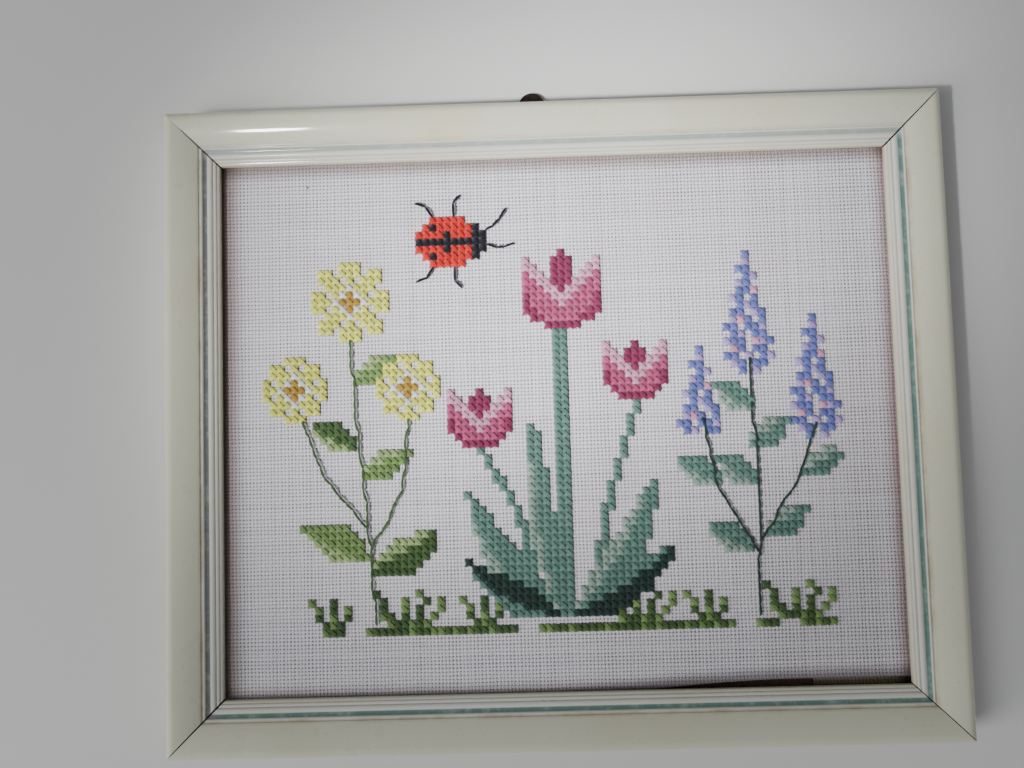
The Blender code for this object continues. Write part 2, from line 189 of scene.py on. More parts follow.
# Small marks on the cloth: a dark speck and a bright fibre, and how much of their tint's light they keep
Mark = namedtuple("Mark", "x y radius level")
SPECK = Mark(-0.0885, 0.0870, 0.0007, 0.35)
LINT = Mark(-0.0546, 0.0171, 0.0006, 1.0)

# Stitches: a cross spans a cell of threads, and its two legs rise one over the other
CELL_THREADS = 2
CROSS_STRANDS = 3
LOWER_LEG_RISE = 0.00042
UPPER_LEG_RISE = 0.00082
STITCH_SINK = 0.00012
CROSS_RISE_UNEVEN = 0.00005
CROSS_TURN_UNEVEN = 5.0
CROSS_SIZE_LEAST = 0.97
CROSS_SIZE_UNEVEN = 0.06
LINE_STRANDS = 2
LINE_RISE = 0.00050
LINE_LIFT = 0.00045
LINE_STITCH_THREADS = 3

# Strands: how they are cut up, how thick and how spread they are at their ends, and how far they tuck in
STRAND_SIDES = 5
STRAND_STEPS = 5
END_THICKNESS = 0.72
END_SPREAD = 0.45
END_OVERLAP = 1.02
END_TUCK = 0.8
PLY_SHIFT = 900

# Hanging plate and its tacks
HANGER_X = -0.006
EYE_OUT = 0.0033
HEAD_RADIUS = 0.0048
HOLE_RADIUS = 0.0018
DISH_RADIUS = 0.0031
DISH_DEPTH = 0.0005
HALF_BODY = 0.0038
BODY_LOW = -0.0092
BODY_CORNER = 0.0015
PLATE_BACK = 0.001
PLATE_THICKNESS = 0.001
PLATE_ROUND = 0.0002

# How finely the plate and the nails are cut up, and the gap that fitted metal keeps to the wood
HEAD_STEPS = 48
CORNER_STEPS = 6
NAIL_STEPS = 20
FIT_GAP = 0.0003
WELD = 0.000001

# Tacks of the plate, at distances from the frame's top edge, and pins that hold the back
TACKS_AT = (-0.0024, -0.0066)
Nail = namedtuple("Nail", "radius head_radius head_thickness length dome")
TACK = Nail(0.0006, 0.0015, 0.0005, 0.0064, 0.0001)
PIN = Nail(0.0006, 0.0009, 0.0006, 0.0120, 0.0)
PIN_HEIGHT = 0.001
PIN_SHOWING = 0.006

# Camera: where it stands over the middle of the picture, and how it is turned, in degrees
CAMERA_PLACE = (-0.01039, -0.01183, 0.36540)
CAMERA_TURN_AXIS = (4.002, 0.970, -1.630)
PHOTO_WIDTH = 1024
SENSOR_WIDTH = 36.0
FOCAL_PIXELS = 1000.0

# Lights: soft squares aimed at the middle, and round lights that fade out from the middle of their pool.
# Only the streak's lamp shines in the lacquer, and its target is where the streak lies on the top rail
SoftLight = namedtuple("SoftLight", "name place width tint power")
SOFT_LIGHTS = (
    SoftLight("softbox", (-0.75, -0.38, 1.0), 0.6, (0.95, 0.98, 1.0), "key_power"),
    SoftLight("low_side", (-1.5, -0.6, 0.5), 0.8, (0.96, 0.98, 1.0), "side_power"),
)
PoolLight = namedtuple("PoolLight", "name place target radius spread tint power shines")
POOL_LIGHTS = (
    PoolLight("side_pool", (-0.62, -0.33, 1.0), (0.008, MIDDLE_Y + 0.062, 0.0), 0.06, 11.9,
              (0.96, 0.97, 1.0), "fill_power", False),
    PoolLight("streak", (-0.335, -0.190, 0.95), (-0.093, 0.099, 0.016), 0.045, 7.0,
              WHITE, "streak_power", True),
)
SKY_TINT = (0.9, 0.95, 1.0, 1.0)
FLOOR_SIZE = 3.0
FLOOR_DROP = 0.0002


def linear(red, green, blue):
    """Scene colour for a colour given in steps of 255."""
    shown = [part / 255 for part in (red, green, blue)]
    return tuple(part / 12.92 if part <= 0.04045 else ((part + 0.055) / 1.055) ** 2.4 for part in shown)


def uneven(first, second, seed=0):
    """A number from 0 to 1 that looks random but is always the same for the same place."""
    value = math.sin(first * 127.1 + second * 311.7 + seed * 74.7) * 43758.5453
    return value - math.floor(value)


class Finish:
    """One procedural material and the nodes that make it."""

    def __init__(self, name, roughness=0.5, metallic=0.0):
        self.material = bpy.data.materials.new(name)
        self.material.use_nodes = True
        self.tree = self.material.node_tree
        self.shader = self.tree.nodes["Principled BSDF"]
        self.surface(Roughness=roughness, Metallic=metallic)

    def add(self, kind, **settings):
        """A node of that kind, with its settings."""
        node = self.tree.nodes.new("ShaderNode" + kind)
        for key, value in settings.items():
            setattr(node, key, value)
        return node

    def feed(self, socket, value):
        """Link a socket to another one's output, or set it."""
        if isinstance(value, bpy.types.NodeSocket):
            self.tree.links.new(value, socket)
        elif hasattr(value, "__len__") and len(value) == 3 and socket.type == "RGBA":
            socket.default_value = (*value, 1.0)
        else:
            socket.default_value = value

    def math(self, operation, first, second=0.0, third=0.0):
        """Arithmetic on one, two or three values."""
        node = self.add("Math", operation=operation)
        for socket, value in zip(node.inputs, (first, second, third)):
            self.feed(socket, value)
        return node.outputs[0]

    def plus(self, first, second):
        """Two values added."""
        return self.math("ADD", first, second)

    def times(self, first, second):
        """Two values multiplied."""
        return self.math("MULTIPLY", first, second)

    def between(self, share, first, second):
        """A value between two others."""
        node = self.add("Mix", data_type="FLOAT")
        for socket, value in ((0, share), (2, first), (3, second)):
            self.feed(node.inputs[socket], value)
        return node.outputs[0]

    def span(self, value, low, high, to_low=0.0, to_high=1.0):
        """A value that goes softly from to_low to to_high as the given one goes from low to high."""
        node = self.add("MapRange", interpolation_type="SMOOTHSTEP")
        for socket, number in zip(node.inputs, (value, low, high, to_low, to_high)):
            self.feed(socket, number)
        return node.outputs[0]

    def mix(self, share, first, second, blend="MIX"):
        """One colour over another."""
        node = self.add("Mix", data_type="RGBA", blend_type=blend)
        self.feed(node.inputs[0], share)
        self.feed(node.inputs[6], first)
        self.feed(node.inputs[7], second)
        return node.outputs[2]

    def place(self, scale=(1.0, 1.0, 1.0), offset=(0.0, 0.0, 0.0)):
        """The point on the object, stretched or moved."""
        node = self.add("Mapping")
        self.tree.links.new(self.add("TexCoord").outputs["Object"], node.inputs["Vector"])
        node.inputs["Scale"].default_value = scale
        node.inputs["Location"].default_value = offset
        return node.outputs[0]

    def parts(self, vector):
        """A vector's X, Y and Z."""
        node = self.add("SeparateXYZ")
        self.tree.links.new(vector, node.inputs[0])
        return node.outputs

    def vector(self, first, second, third=0.0):
        """A vector from its three parts."""
        node = self.add("CombineXYZ")
        for socket, value in zip(node.inputs, (first, second, third)):
            self.feed(socket, value)
        return node.outputs[0]

    def noise(self, vector, scale, detail=2.0, roughness=0.5):
        """Cloudy noise from 0 to 1."""
        node = self.add("TexNoise")
        self.tree.links.new(vector, node.inputs["Vector"])
        node.inputs["Scale"].default_value = scale
        node.inputs["Detail"].default_value = detail
        node.inputs["Roughness"].default_value = roughness
        return node.outputs["Fac"]

    def random(self, vector):
        """A value from 0 to 1 for each whole place."""
        node = self.add("TexWhiteNoise", noise_dimensions="2D")
        self.tree.links.new(vector, node.inputs["Vector"])
        return node.outputs["Value"]

    def ramp(self, value, stops):
        """A colour read from stops of place and colour."""
        node = self.add("ValToRGB")
        self.feed(node.inputs[0], value)
        elements = node.color_ramp.elements
        while len(elements) < len(stops):
            elements.new(1.0)
        for element, (place, color) in zip(elements, stops):
            element.position = place
            element.color = (*color, 1.0)
        return node.outputs[0]

    def surface(self, **values):
        """Set or link sockets of the surface, by their names with lines for spaces."""
        for name, value in values.items():
            self.feed(self.shader.inputs[name.replace("_", " ")], value)

    def relief(self, height, distance, strength=1.0):
        """Raise the surface by a height from 0 to 1 times a distance."""
        node = self.add("Bump")
        node.inputs["Strength"].default_value = strength
        node.inputs["Distance"].default_value = distance
        self.feed(node.inputs["Height"], height)
        self.tree.links.new(node.outputs[0], self.shader.inputs["Normal"])


def mesh_of(name, bm, materials):
    """The smooth mesh that a bmesh ends as."""
    mesh = bpy.data.meshes.new(name)
    bm.to_mesh(mesh)
    bm.free()
    for material in materials:
        mesh.materials.append(material)
    mesh.shade_smooth()
    return mesh


def add_object(name, data):
    """A new object in the scene."""
    holder = bpy.data.objects.new(name, data)
    bpy.context.scene.collection.objects.link(holder)
    return holder


def only(kind, elements):
    """Those elements of a bmesh that are of one kind."""
    return [element for element in elements if isinstance(element, kind)]


def finish_piece(name, bm, materials, replaced=(), smooth_angle=None):
    """Turn a bmesh into a piece that rides on the frame and stands for the solids it replaces."""
    piece = add_object(name, mesh_of(name, bm, materials))
    if smooth_angle is not None:
        piece.data.set_sharp_from_angle(angle=math.radians(smooth_angle))
    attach(piece, BODY)
    if replaced:
        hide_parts(*replaced)
    return piece


def arc_points(start, end, bulge, steps):
    """Points after the start of an arc that stands off its chord by bulge, to the left of its run."""
    run = (end[0] - start[0], end[1] - start[1])
    chord = math.hypot(*run)
    along = (run[0] / chord, run[1] / chord)
    radius = (chord * chord / 4 + bulge * bulge) / (2 * bulge)
    half_angle = math.asin(chord / (2 * radius))
    points = []
    for step in range(1, steps + 1):
        angle = half_angle * (2 * step / steps - 1)
        forward = chord / 2 + radius * math.sin(angle)
        off = radius * math.cos(angle) - (radius - bulge)
        points.append((start[0] + along[0] * forward - along[1] * off,
                       start[1] + along[1] * forward + along[0] * off))
    return points


def moulding_profile():
    """The moulding's section, as distances in from the outer wall and heights above the back."""
    profile = [(0.0, 0.0), (0.0, OUTER_WALL_HEIGHT)]
    for reach in MOULDING_FACE:
        profile += arc_points(profile[-1], (reach.end_in, reach.end_height), reach.bulge, reach.steps)
    profile.append((MOULDING_WIDTH, REBATE_DEPTH))
    profile.append((WALL_WIDTH, REBATE_DEPTH))
    profile.append((WALL_WIDTH, 0.0))
    return profile


def mitre_set_back(inward, corner):
    """How far a rail's end stands back from the frame's corner, at a distance in from its outer wall."""
    share = inward / MOULDING_WIDTH
    gap = corner.outer_gap + (corner.inner_gap - corner.outer_gap) * share
    return inward + gap / math.sqrt(2)


def rail_place(rail):
    """Turns a rail from its own X axis into its place in the frame."""
    turn = Matrix.Rotation(math.radians(rail.turn), 4, "Z")
    across = HALF_HEIGHT if rail.turn % 180 == 0 else HALF_WIDTH
    return Matrix.Translation((0, MIDDLE_Y, 0)) @ turn @ Matrix.Translation((0, across, 0))


def blunt_tip(bm, corner):
    """Take the worn tip off a corner that is already in its place."""
    tip = Vector((corner.side_x * HALF_WIDTH, MIDDLE_Y + corner.side_y * HALF_HEIGHT, 0))
    on_rail = tip - Vector((corner.side_x * corner.blunt_x, 0, 0))
    on_stile = tip - Vector((0, corner.side_y * corner.blunt_y, 0))
    run = on_stile - on_rail
    outward = Vector((run.y, -run.x, 0)).normalized()
    if outward.x * corner.side_x < 0:
        outward.negate()
    geom = list(bm.verts) + list(bm.edges) + list(bm.faces)
    cut = bmesh.ops.bisect_plane(
        bm, geom=geom, dist=WELD, plane_co=on_rail, plane_no=outward, clear_outer=True)
    rim = only(bmesh.types.BMEdge, cut["geom_cut"])
    if rim:
        bmesh.ops.holes_fill(bm, edges=rim, sides=0)


def profile_lengths(profile):
    """How far along the section each of its points lies."""
    lengths = [0.0]
    for first, second in zip(profile, profile[1:] + profile[:1]):
        lengths.append(lengths[-1] + math.dist(first, second))
    return lengths


def make_rail(rail, materials):
    """One mitred length of moulding, with its paint's place in a map of its own."""
    profile = moulding_profile()
    lengths = profile_lengths(profile)
    bm = bmesh.new()
    inward_at = bm.verts.layers.float.new("inward")
    section_at = bm.verts.layers.float.new("section")
    along_at = bm.verts.layers.float.new("along")
    start_corner = CORNERS[rail.start_corner]
    end_corner = CORNERS[rail.end_corner]
    outline = []
    for (inward, height), length in zip(profile, lengths):
        vert = bm.verts.new((mitre_set_back(inward, start_corner) - rail.half_length, -inward, height))
        vert[inward_at] = inward
        vert[section_at] = length
        outline.append(vert)
    extruded = bmesh.ops.extrude_face_region(bm, geom=[bm.faces.new(outline)])["geom"]
    for vert in only(bmesh.types.BMVert, extruded):
        vert.co.x = rail.half_length - mitre_set_back(-vert.co.y, end_corner)
    long_edges = [edge for edge in bm.edges if edge.calc_length() > rail.half_length]
    bmesh.ops.subdivide_edges(bm, edges=long_edges, cuts=RAIL_CUTS, use_grid_fill=False)
    for vert in bm.verts:
        vert[along_at] = vert.co.x
    bmesh.ops.recalc_face_normals(bm, faces=bm.faces)
    bmesh.ops.transform(bm, matrix=rail_place(rail), verts=bm.verts)
    for corner in (start_corner, end_corner):
        blunt_tip(bm, corner)
    paint_rail(bm, rail, lengths)
    return finish_piece(rail.name, bm, materials, [rail.node], smooth_angle=40)


def paint_rail(bm, rail, lengths):
    """Give a rail's faces their lacquer or bare wood, and lay its faces out flat in two strips."""
    inward_at = bm.verts.layers.float["inward"]
    section_at = bm.verts.layers.float["section"]
    along_at = bm.verts.layers.float["along"]
    section_map = bm.loops.layers.uv.new("section")
    bake_map = bm.loops.layers.uv.new("OFBake")
    around = lengths[-1]
    scale = 1 / max(2 * around + 2 * MOULDING_WIDTH * CAP_SHRINK, rail.half_length)
    painted_end = sum(reach.steps for reach in MOULDING_FACE) + 2
    for face in bm.faces:
        places = [loop.vert[section_at] for loop in face.loops]
        lowest, highest = min(places), max(places)
        wraps = highest - lowest > around / 2
        aslant = abs(face.normal.x) > 0.5 and abs(face.normal.y) > 0.5
        centre = face.calc_center_median()
        is_cap = aslant and face.normal.x * centre.x * face.normal.y * (centre.y - MIDDLE_Y) < 0
        is_bare = wraps or highest > lengths[painted_end] + WELD
        face.material_index = 2 if is_cap else 1 if is_bare else 0
        middle = sum(loop.vert[along_at] for loop in face.loops) / len(face.loops)
        for loop in face.loops:
            section = loop.vert[section_at]
            if wraps and section < around / 2:
                section += around
            inward = loop.vert[inward_at] / MOULDING_WIDTH
            loop[section_map].uv = (inward, loop.vert[along_at] / MOULDING_WIDTH)
            if is_cap:
                column = MOULDING_WIDTH if middle > 0 else 0.0
                across = (loop.vert[inward_at] + column) * CAP_SHRINK + 2 * around
                loop[bake_map].uv = (across * scale, loop.vert.co.z * scale)
            else:
                strip = around if middle > 0 else 0.0
                loop[bake_map].uv = ((section + strip) * scale, abs(loop.vert[along_at]) * scale)


def make_lacquer(settings):
    """Aged ivory lacquer with a painted band, a soiled groove, and fine lines of dirt and painted shade
    between its beads.
    """
    finish = Finish("aged_ivory_lacquer", roughness=0.3)
    inward = finish.parts(finish.add("UVMap", uv_map="section").outputs[0])[0]
    place = finish.place(offset=(0.0, -MIDDLE_Y, 0.0))
    x, y = finish.parts(place)[:2]
    paint = finish.ramp(inward, [(share, getattr(settings, tint)) for share, tint in PAINT_STOPS])
    clouds = finish.noise(place, 26.0, 4.0, 0.6)
    aged = finish.span(clouds, 0.4, 0.8, 0.0, 0.35)
    paint = finish.mix(aged, paint, settings.yellowing, "MULTIPLY")
    grime = finish.span(finish.noise(place, 90.0, 4.0, 0.7), 0.35, 0.7, 0.15, 0.75)
    grime = finish.times(grime, finish.span(y, BAND_Y - BAND_FADE_Y, BAND_Y - BAND_EDGE, 1.0, 0.35))
    in_groove = finish.ramp(inward, GROOVE_STOPS)
    paint = finish.mix(finish.times(in_groove, grime), paint, settings.groove)
    on_left = finish.span(x, BAND_X + BAND_EDGE, BAND_X + BAND_FADE_X, 1.0, 0.0)
    on_top = finish.span(y, BAND_Y - BAND_FADE_Y, BAND_Y - BAND_EDGE, 0.0, 0.4)
    band = finish.mix(on_left, settings.band, settings.faded_band)
    band = finish.mix(on_top, band, settings.bead)
    wear = finish.span(finish.noise(place, 260.0, 4.0, 0.7), 0.3, 0.55, 0.72, 1.0)
    in_band = finish.ramp(inward, BAND_STOPS)
    paint = finish.mix(finish.times(in_band, wear), paint, band)
    specks = finish.span(finish.noise(place, 900.0, 1.0), 0.70, 0.78, 0.0, 0.3)
    finish.surface(Base_Color=finish.mix(specks, paint, settings.dirt))
    rough = finish.span(finish.noise(place, 60.0, 3.0), 0.3, 0.7, 0.26, 0.40)
    finish.surface(Roughness=rough, Coat_Weight=1.0, Coat_Roughness=0.06, Coat_IOR=1.65)
    ripple = finish.noise(place, 150.0, 3.0, 0.6)
    dents = finish.span(finish.noise(place, 520.0, 0.0), 0.76, 0.84, 0.0, -3.0)
    finish.relief(finish.plus(ripple, dents), 0.00002, 0.5)
    return finish.material


def make_bare_wood():
    """Pale bare wood of the frame's back, rebate and mitred ends."""
    finish = Finish("bare_frame_wood", roughness=0.75)
    grain = finish.noise(finish.place((120.0, 120.0, 900.0)), 1.0, 4.0, 0.65)
    finish.surface(Base_Color=finish.ramp(grain, (
        (0.3, linear(120, 88, 56)), (0.55, linear(168, 134, 92)), (0.8, linear(190, 158, 116)))))
    finish.relief(grain, 0.00008, 0.5)
    return finish.material


def make_mitre_finish():
    """Old glue and dirt on the mitred ends, darkened further as painted shade in the narrow mitre gap."""
    finish = Finish("soiled_mitre", roughness=0.9)
    patches = finish.noise(finish.place(), 500.0, 3.0)
    # Dark brown for dirt and painted shade in the mitre gap
    finish.surface(Base_Color=finish.mix(patches, linear(48, 40, 32), linear(84, 70, 54)))
    return finish.material


def lower_edge(x):
    """Height up the picture of the cloth's lower edge, which rises where the cloth is cut short."""
    share = min(max((x - SHORT_START) / (SHORT_FULL - SHORT_START), 0.0), 1.0)
    return SHORT_RISE * share * share * (3 - 2 * share) - CLOTH_HEIGHT / 2


def crease_lift(away, crease):
    """Height of a fold line at a distance from it."""
    return crease.rise * math.exp(-(away / crease.half_width) ** 2)


def cloth_lift(x, y):
    """How far the stretched cloth stands off its card, in a low crown with slack waves at its foot."""
    inside_x = max(0.0, 1 - (x / OPENING_X) ** 2)
    inside_y = max(0.0, 1 - (y / OPENING_Y) ** 2)
    slack = SLACK_HEIGHT * math.sin(math.tau * x / SLACK_LENGTH) * (1 - y / OPENING_Y)
    lift = (CLOTH_CROWN + slack) * inside_x * inside_y
    upright = crease_lift(x - UPRIGHT_CREASE.place, UPRIGHT_CREASE) * min(1.0, max(0.2, 0.7 + y / 0.1))
    level = crease_lift(y - LEVEL_CREASE.place, LEVEL_CREASE) * min(1.0, max(0.2, 0.4 - x / 0.1))
    return lift + (upright + level) * min(1.0, 4 * inside_x * inside_y)


def cloth_point(threads_x, threads_y):
    """The place on the cloth's front of a count of threads from the middle, without its height."""
    return threads_x * PITCH_X, threads_y * PITCH_Y


def cloth_row(row):
    """Height up the picture of a row of crossings of the cloth's grid."""
    return (row - THREADS_Y / 2 + 0.5) * PITCH_Y


def cloth_top(x, y):
    """Height of the cloth's front at a place."""
    return TURNED_EDGE[0].height + CLOTH_THICKNESS / 2 + cloth_lift(x, y)


def lay_threads(bm, settings):
    """Put a vertex on each crossing of threads, slightly off its place, above the cloth's lower edge."""
    weave = bm.verts.layers.float_vector["weave"]
    fold = bm.verts.layers.float["fold"]
    inset = TURNED_EDGE[0].inset
    columns = {}
    for vert in bm.verts:
        column = round((vert.co.x + 1) / 2 * (THREADS_X - 1))
        row = round((vert.co.y + 1) / 2 * (THREADS_Y - 1))
        columns.setdefault(column, {})[row] = vert
    merged = {}
    for column, verts in columns.items():
        threads_x = column - THREADS_X / 2 + 0.5
        on_side = column in (0, THREADS_X - 1)
        edge_x = math.copysign(CLOTH_WIDTH / 2 - inset, threads_x)
        x = edge_x if on_side else threads_x * PITCH_X
        low = lower_edge(x) + inset
        lowest = next(row for row in sorted(verts) if cloth_row(row) > low + PITCH_Y / 2) - 1
        for row, vert in verts.items():
            y = low if row <= lowest else cloth_row(row)
            y = CLOTH_HEIGHT / 2 - inset if row == THREADS_Y - 1 else y
            vert[weave] = (x / PITCH_X, y / PITCH_Y, 0.0)
            vert[fold] = y - low
            on_edge = on_side or row in (lowest, THREADS_Y - 1)
            drift = 0.0 if on_edge else settings.thread_drift
            place_x = x + drift * math.sin(row * DRIFT_TURN_X + math.tau * uneven(column, 1))
            place_y = y + drift * math.sin(column * DRIFT_TURN_Y + math.tau * uneven(row, 2))
            rise = 0.0 if on_edge else THREAD_RISE * (uneven(column, row, 3) - 0.5)
            vert.co = (place_x, place_y, TURNED_EDGE[0].height + cloth_lift(place_x, place_y) + rise)
            if row < lowest:
                merged[vert] = verts[lowest]
    bmesh.ops.weld_verts(bm, targetmap=merged)


def turn_edge(bm):
    """Run the cloth's edge down round its card and in under it, and count its threads on."""
    weave = bm.verts.layers.float_vector["weave"]
    for previous, ring in zip(TURNED_EDGE, TURNED_EDGE[1:]):
        rim = [edge for edge in bm.edges if edge.is_boundary]
        extruded = bmesh.ops.extrude_edge_only(bm, edges=rim)["geom"]
        scale_x = (CLOTH_WIDTH / 2 - ring.inset) / (CLOTH_WIDTH / 2 - previous.inset)
        scale_y = (CLOTH_HEIGHT / 2 - ring.inset) / (CLOTH_HEIGHT / 2 - previous.inset)
        turned = ring_run(previous, ring)
        for vert in only(bmesh.types.BMVert, extruded):
            vert.co = (vert.co.x * scale_x, vert.co.y * scale_y, ring.height)
            place = Vector(vert[weave])
            if abs(place.x) / THREADS_X > abs(place.y) / THREADS_Y:
                place.x += math.copysign(turned / PITCH_X, place.x)
            else:
                place.y += math.copysign(turned / PITCH_Y, place.y)
            vert[weave] = place


def ring_run(first, second):
    """Length of cloth from one ring of its turned edge to the next."""
    return abs(first.height - second.height) + abs(first.inset - second.inset)


def open_holes(bm, stitched_holes, settings):
    """Sink a dimple for each hole of the weave in sight, and a deeper one where a needle has gone."""
    weave = bm.verts.layers.float_vector["weave"]
    pull = bm.verts.layers.float["pull"]
    fold = bm.verts.layers.float["fold"]
    front = []
    for face in bm.faces:
        centre = face.calc_center_median()
        facing = face.normal.z > 0.7 and centre.z > TURNED_EDGE[0].height
        if facing and abs(centre.x) < OPENING_X + PITCH_X and abs(centre.y) < OPENING_Y + PITCH_Y:
            front.append(face)
    pokes = bmesh.ops.poke(bm, faces=front, offset=0.0, center_mode="MEAN", use_relative_offset=False)
    for vert in pokes["verts"]:
        around = [edge.other_vert(vert) for edge in vert.link_edges]
        count = sum((Vector(other[weave]) for other in around), Vector()) / len(around)
        vert[weave] = count
        vert[fold] = sum(other[fold] for other in around) / len(around)
        hole = (round(count.x), round(count.y))
        if hole in stitched_holes:
            vert[pull] = 1.0
            vert.co.z -= settings.stitched_hole_depth
        else:
            vert.co.z -= settings.hole_depth * (0.75 + 0.5 * uneven(*hole, 4))


def make_linen(material, stitched_holes, settings):
    """The linen, turned round its card, with the holes of its weave sunk in its front."""
    bm = bmesh.new()
    bm.verts.layers.float_vector.new("weave")
    bm.verts.layers.float.new("pull")
    bm.verts.layers.float.new("fold")
    bmesh.ops.create_grid(bm, x_segments=THREADS_X - 1, y_segments=THREADS_Y - 1, size=1.0)
    lay_threads(bm, settings)
    turn_edge(bm)
    bmesh.ops.recalc_face_normals(bm, faces=bm.faces)
    bmesh.ops.solidify(bm, geom=list(bm.faces), thickness=CLOTH_THICKNESS)
    bmesh.ops.recalc_face_normals(bm, faces=bm.faces)
    open_holes(bm, stitched_holes, settings)
    bmesh.ops.translate(bm, verts=bm.verts, vec=(0, MIDDLE_Y, 0))
    add_tongue(bm)
    lay_out_from_above(bm)
    return finish_piece("stretched_linen", bm, [material], ["linen"])


def add_tongue(bm):
    """The turned-under layer that sticks out of the fold at the lower right."""
    low = Vector(TONGUE_LOW)
    high = Vector(TONGUE_HIGH)
    made = bmesh.ops.create_cube(bm, size=1.0)["verts"]
    bmesh.ops.scale(bm, vec=high - low, verts=made)
    bmesh.ops.translate(bm, vec=(high + low) / 2 + Vector((0, MIDDLE_Y, 0)), verts=made)
    weave = bm.verts.layers.float_vector["weave"]
    fold = bm.verts.layers.float["fold"]
    for vert in made:
        vert[weave] = (vert.co.x / PITCH_X, (vert.co.y + vert.co.z) / PITCH_Y, 0.0)
        vert[fold] = TONGUE_FOLD


def lay_out_from_above(bm):
    """Lay a thin flat piece's map out as it is seen from above, with its underside beside its front."""
    bake_map = bm.loops.layers.uv.new("OFBake")
    low = Vector([min(vert.co[axis] for vert in bm.verts) for axis in range(3)])
    high = Vector([max(vert.co[axis] for vert in bm.verts) for axis in range(3)])
    size = max(high.x - low.x, (high.y - low.y) * MAP_ROOM)
    for face in bm.faces:
        front = face.normal.z > -0.1
        for loop in face.loops:
            across = (loop.vert.co.x - low.x) / size
            up = (loop.vert.co.y - low.y) / size
            under = (across * UNDER_WIDTH, UNDER_START + up * UNDER_HEIGHT)
            loop[bake_map].uv = (across, up) if front else under


def weave_holes(finish, warp, weft):
    """Where the cloth is open: at the crossings between threads, and wider where one is loose or pulled."""
    warp_wave = finish.math("COSINE", finish.times(warp, math.tau))
    weft_wave = finish.math("COSINE", finish.times(weft, math.tau))
    pull = finish.add("Attribute", attribute_name="pull").outputs["Fac"]
    opening = finish.plus(finish.plus(warp_wave, weft_wave), finish.times(pull, 0.7))
    loose = finish.plus(finish.random(finish.vector(finish.math("ROUND", warp), 11.0)),
                        finish.random(finish.vector(13.0, finish.math("ROUND", weft))))
    opening = finish.plus(opening, finish.times(finish.math("SUBTRACT", loose, 1.0), 0.4))
    return warp_wave, weft_wave, finish.span(opening, 0.7, 1.75)


def weave_threads(finish, warp, weft):
    """How high the threads stand, how their fibres lie, how each is shaded, and where the holes are."""
    warp_wave, weft_wave, hole = weave_holes(finish, warp, weft)
    over = finish.times(finish.math("SINE", finish.times(warp, math.pi)),
                        finish.math("SINE", finish.times(weft, math.pi)))
    warp_on_top = finish.span(over, -0.2, 0.2)
    warp_round = finish.math("SUBTRACT", 0.5, finish.times(warp_wave, 0.5))
    weft_round = finish.math("SUBTRACT", 0.5, finish.times(weft_wave, 0.5))
    height = finish.between(warp_on_top, weft_round, warp_round)
    height = finish.times(height, finish.math("SUBTRACT", 1.0, finish.times(hole, 0.8)))
    warp_fibre = finish.noise(finish.vector(finish.times(warp, 9.0), weft), 1.0, 2.0)
    weft_fibre = finish.noise(finish.vector(warp, finish.times(weft, 9.0)), 1.0, 2.0)
    fibre = finish.between(warp_on_top, weft_fibre, warp_fibre)
    warp_shade = finish.random(finish.vector(finish.math("FLOOR", warp), 3.0))
    weft_shade = finish.random(finish.vector(7.0, finish.math("FLOOR", weft)))
    shade = finish.plus(finish.times(warp_shade, 0.05), finish.times(weft_shade, 0.05))
    shade = finish.plus(finish.plus(shade, 0.82), finish.times(fibre, 0.12))
    # Threads darker where they dip under each other: painted shade
    shade = finish.times(shade, finish.span(height, 0.0, 0.8, 0.72, 1.0))
    return hole, height, fibre, shade


def soil_and_shade_linen(finish, thread, x, y, settings):
    """The threads' colour with dirt and painted shade along the edges, painted shade and dirt along the
    fold of the short edge, and the tint of the turned-under layer, which is partly painted shade.
    """
    away = {
        "left": finish.plus(x, OPENING_X),
        "right": finish.math("SUBTRACT", OPENING_X, x),
        "top": finish.math("SUBTRACT", OPENING_Y, y),
        "bottom": finish.plus(y, OPENING_Y),
    }
    # Each edge's tint is dirt and painted shade: the shade that the frame's lip casts on the cloth
    for soil_and_shade in SOILS_AND_SHADE:
        share = finish.span(away[soil_and_shade.edge], 0.0, soil_and_shade.reach, soil_and_shade.strength, 0.0)
        thread = finish.mix(share, thread, getattr(settings, soil_and_shade.tint), "MULTIPLY")
    # Painted shade and dirt along the fold where the cloth turns under
    fold = finish.add("Attribute", attribute_name="fold").outputs["Fac"]
    share = finish.span(finish.math("ABSOLUTE", fold), 0.0, FOLD_REACH, FOLD_STRENGTH, 0.0)
    thread = finish.mix(share, thread, settings.fold_shade, "MULTIPLY")
    # Olive tint of the turned-under layer, darkened further as painted shade under the fold
    tongue_tint_and_shade = finish.span(fold, 0.8 * TONGUE_FOLD, 0.4 * TONGUE_FOLD, 1.0, 0.0)
    return finish.mix(tongue_tint_and_shade, thread, settings.tongue_tint_and_shade, "MULTIPLY")


def mark_linen(finish, thread, x, y, spot, tint):
    """The threads' colour with one small round mark."""
    off_x = finish.plus(x, -spot.x)
    off_y = finish.plus(y, -spot.y)
    off = finish.math("SQRT", finish.math("MULTIPLY_ADD", off_x, off_x, finish.times(off_y, off_y)))
    share = finish.span(off, 0.3 * spot.radius, spot.radius, 0.9, 0.0)
    return finish.mix(share, thread, tuple(part * spot.level for part in tint))


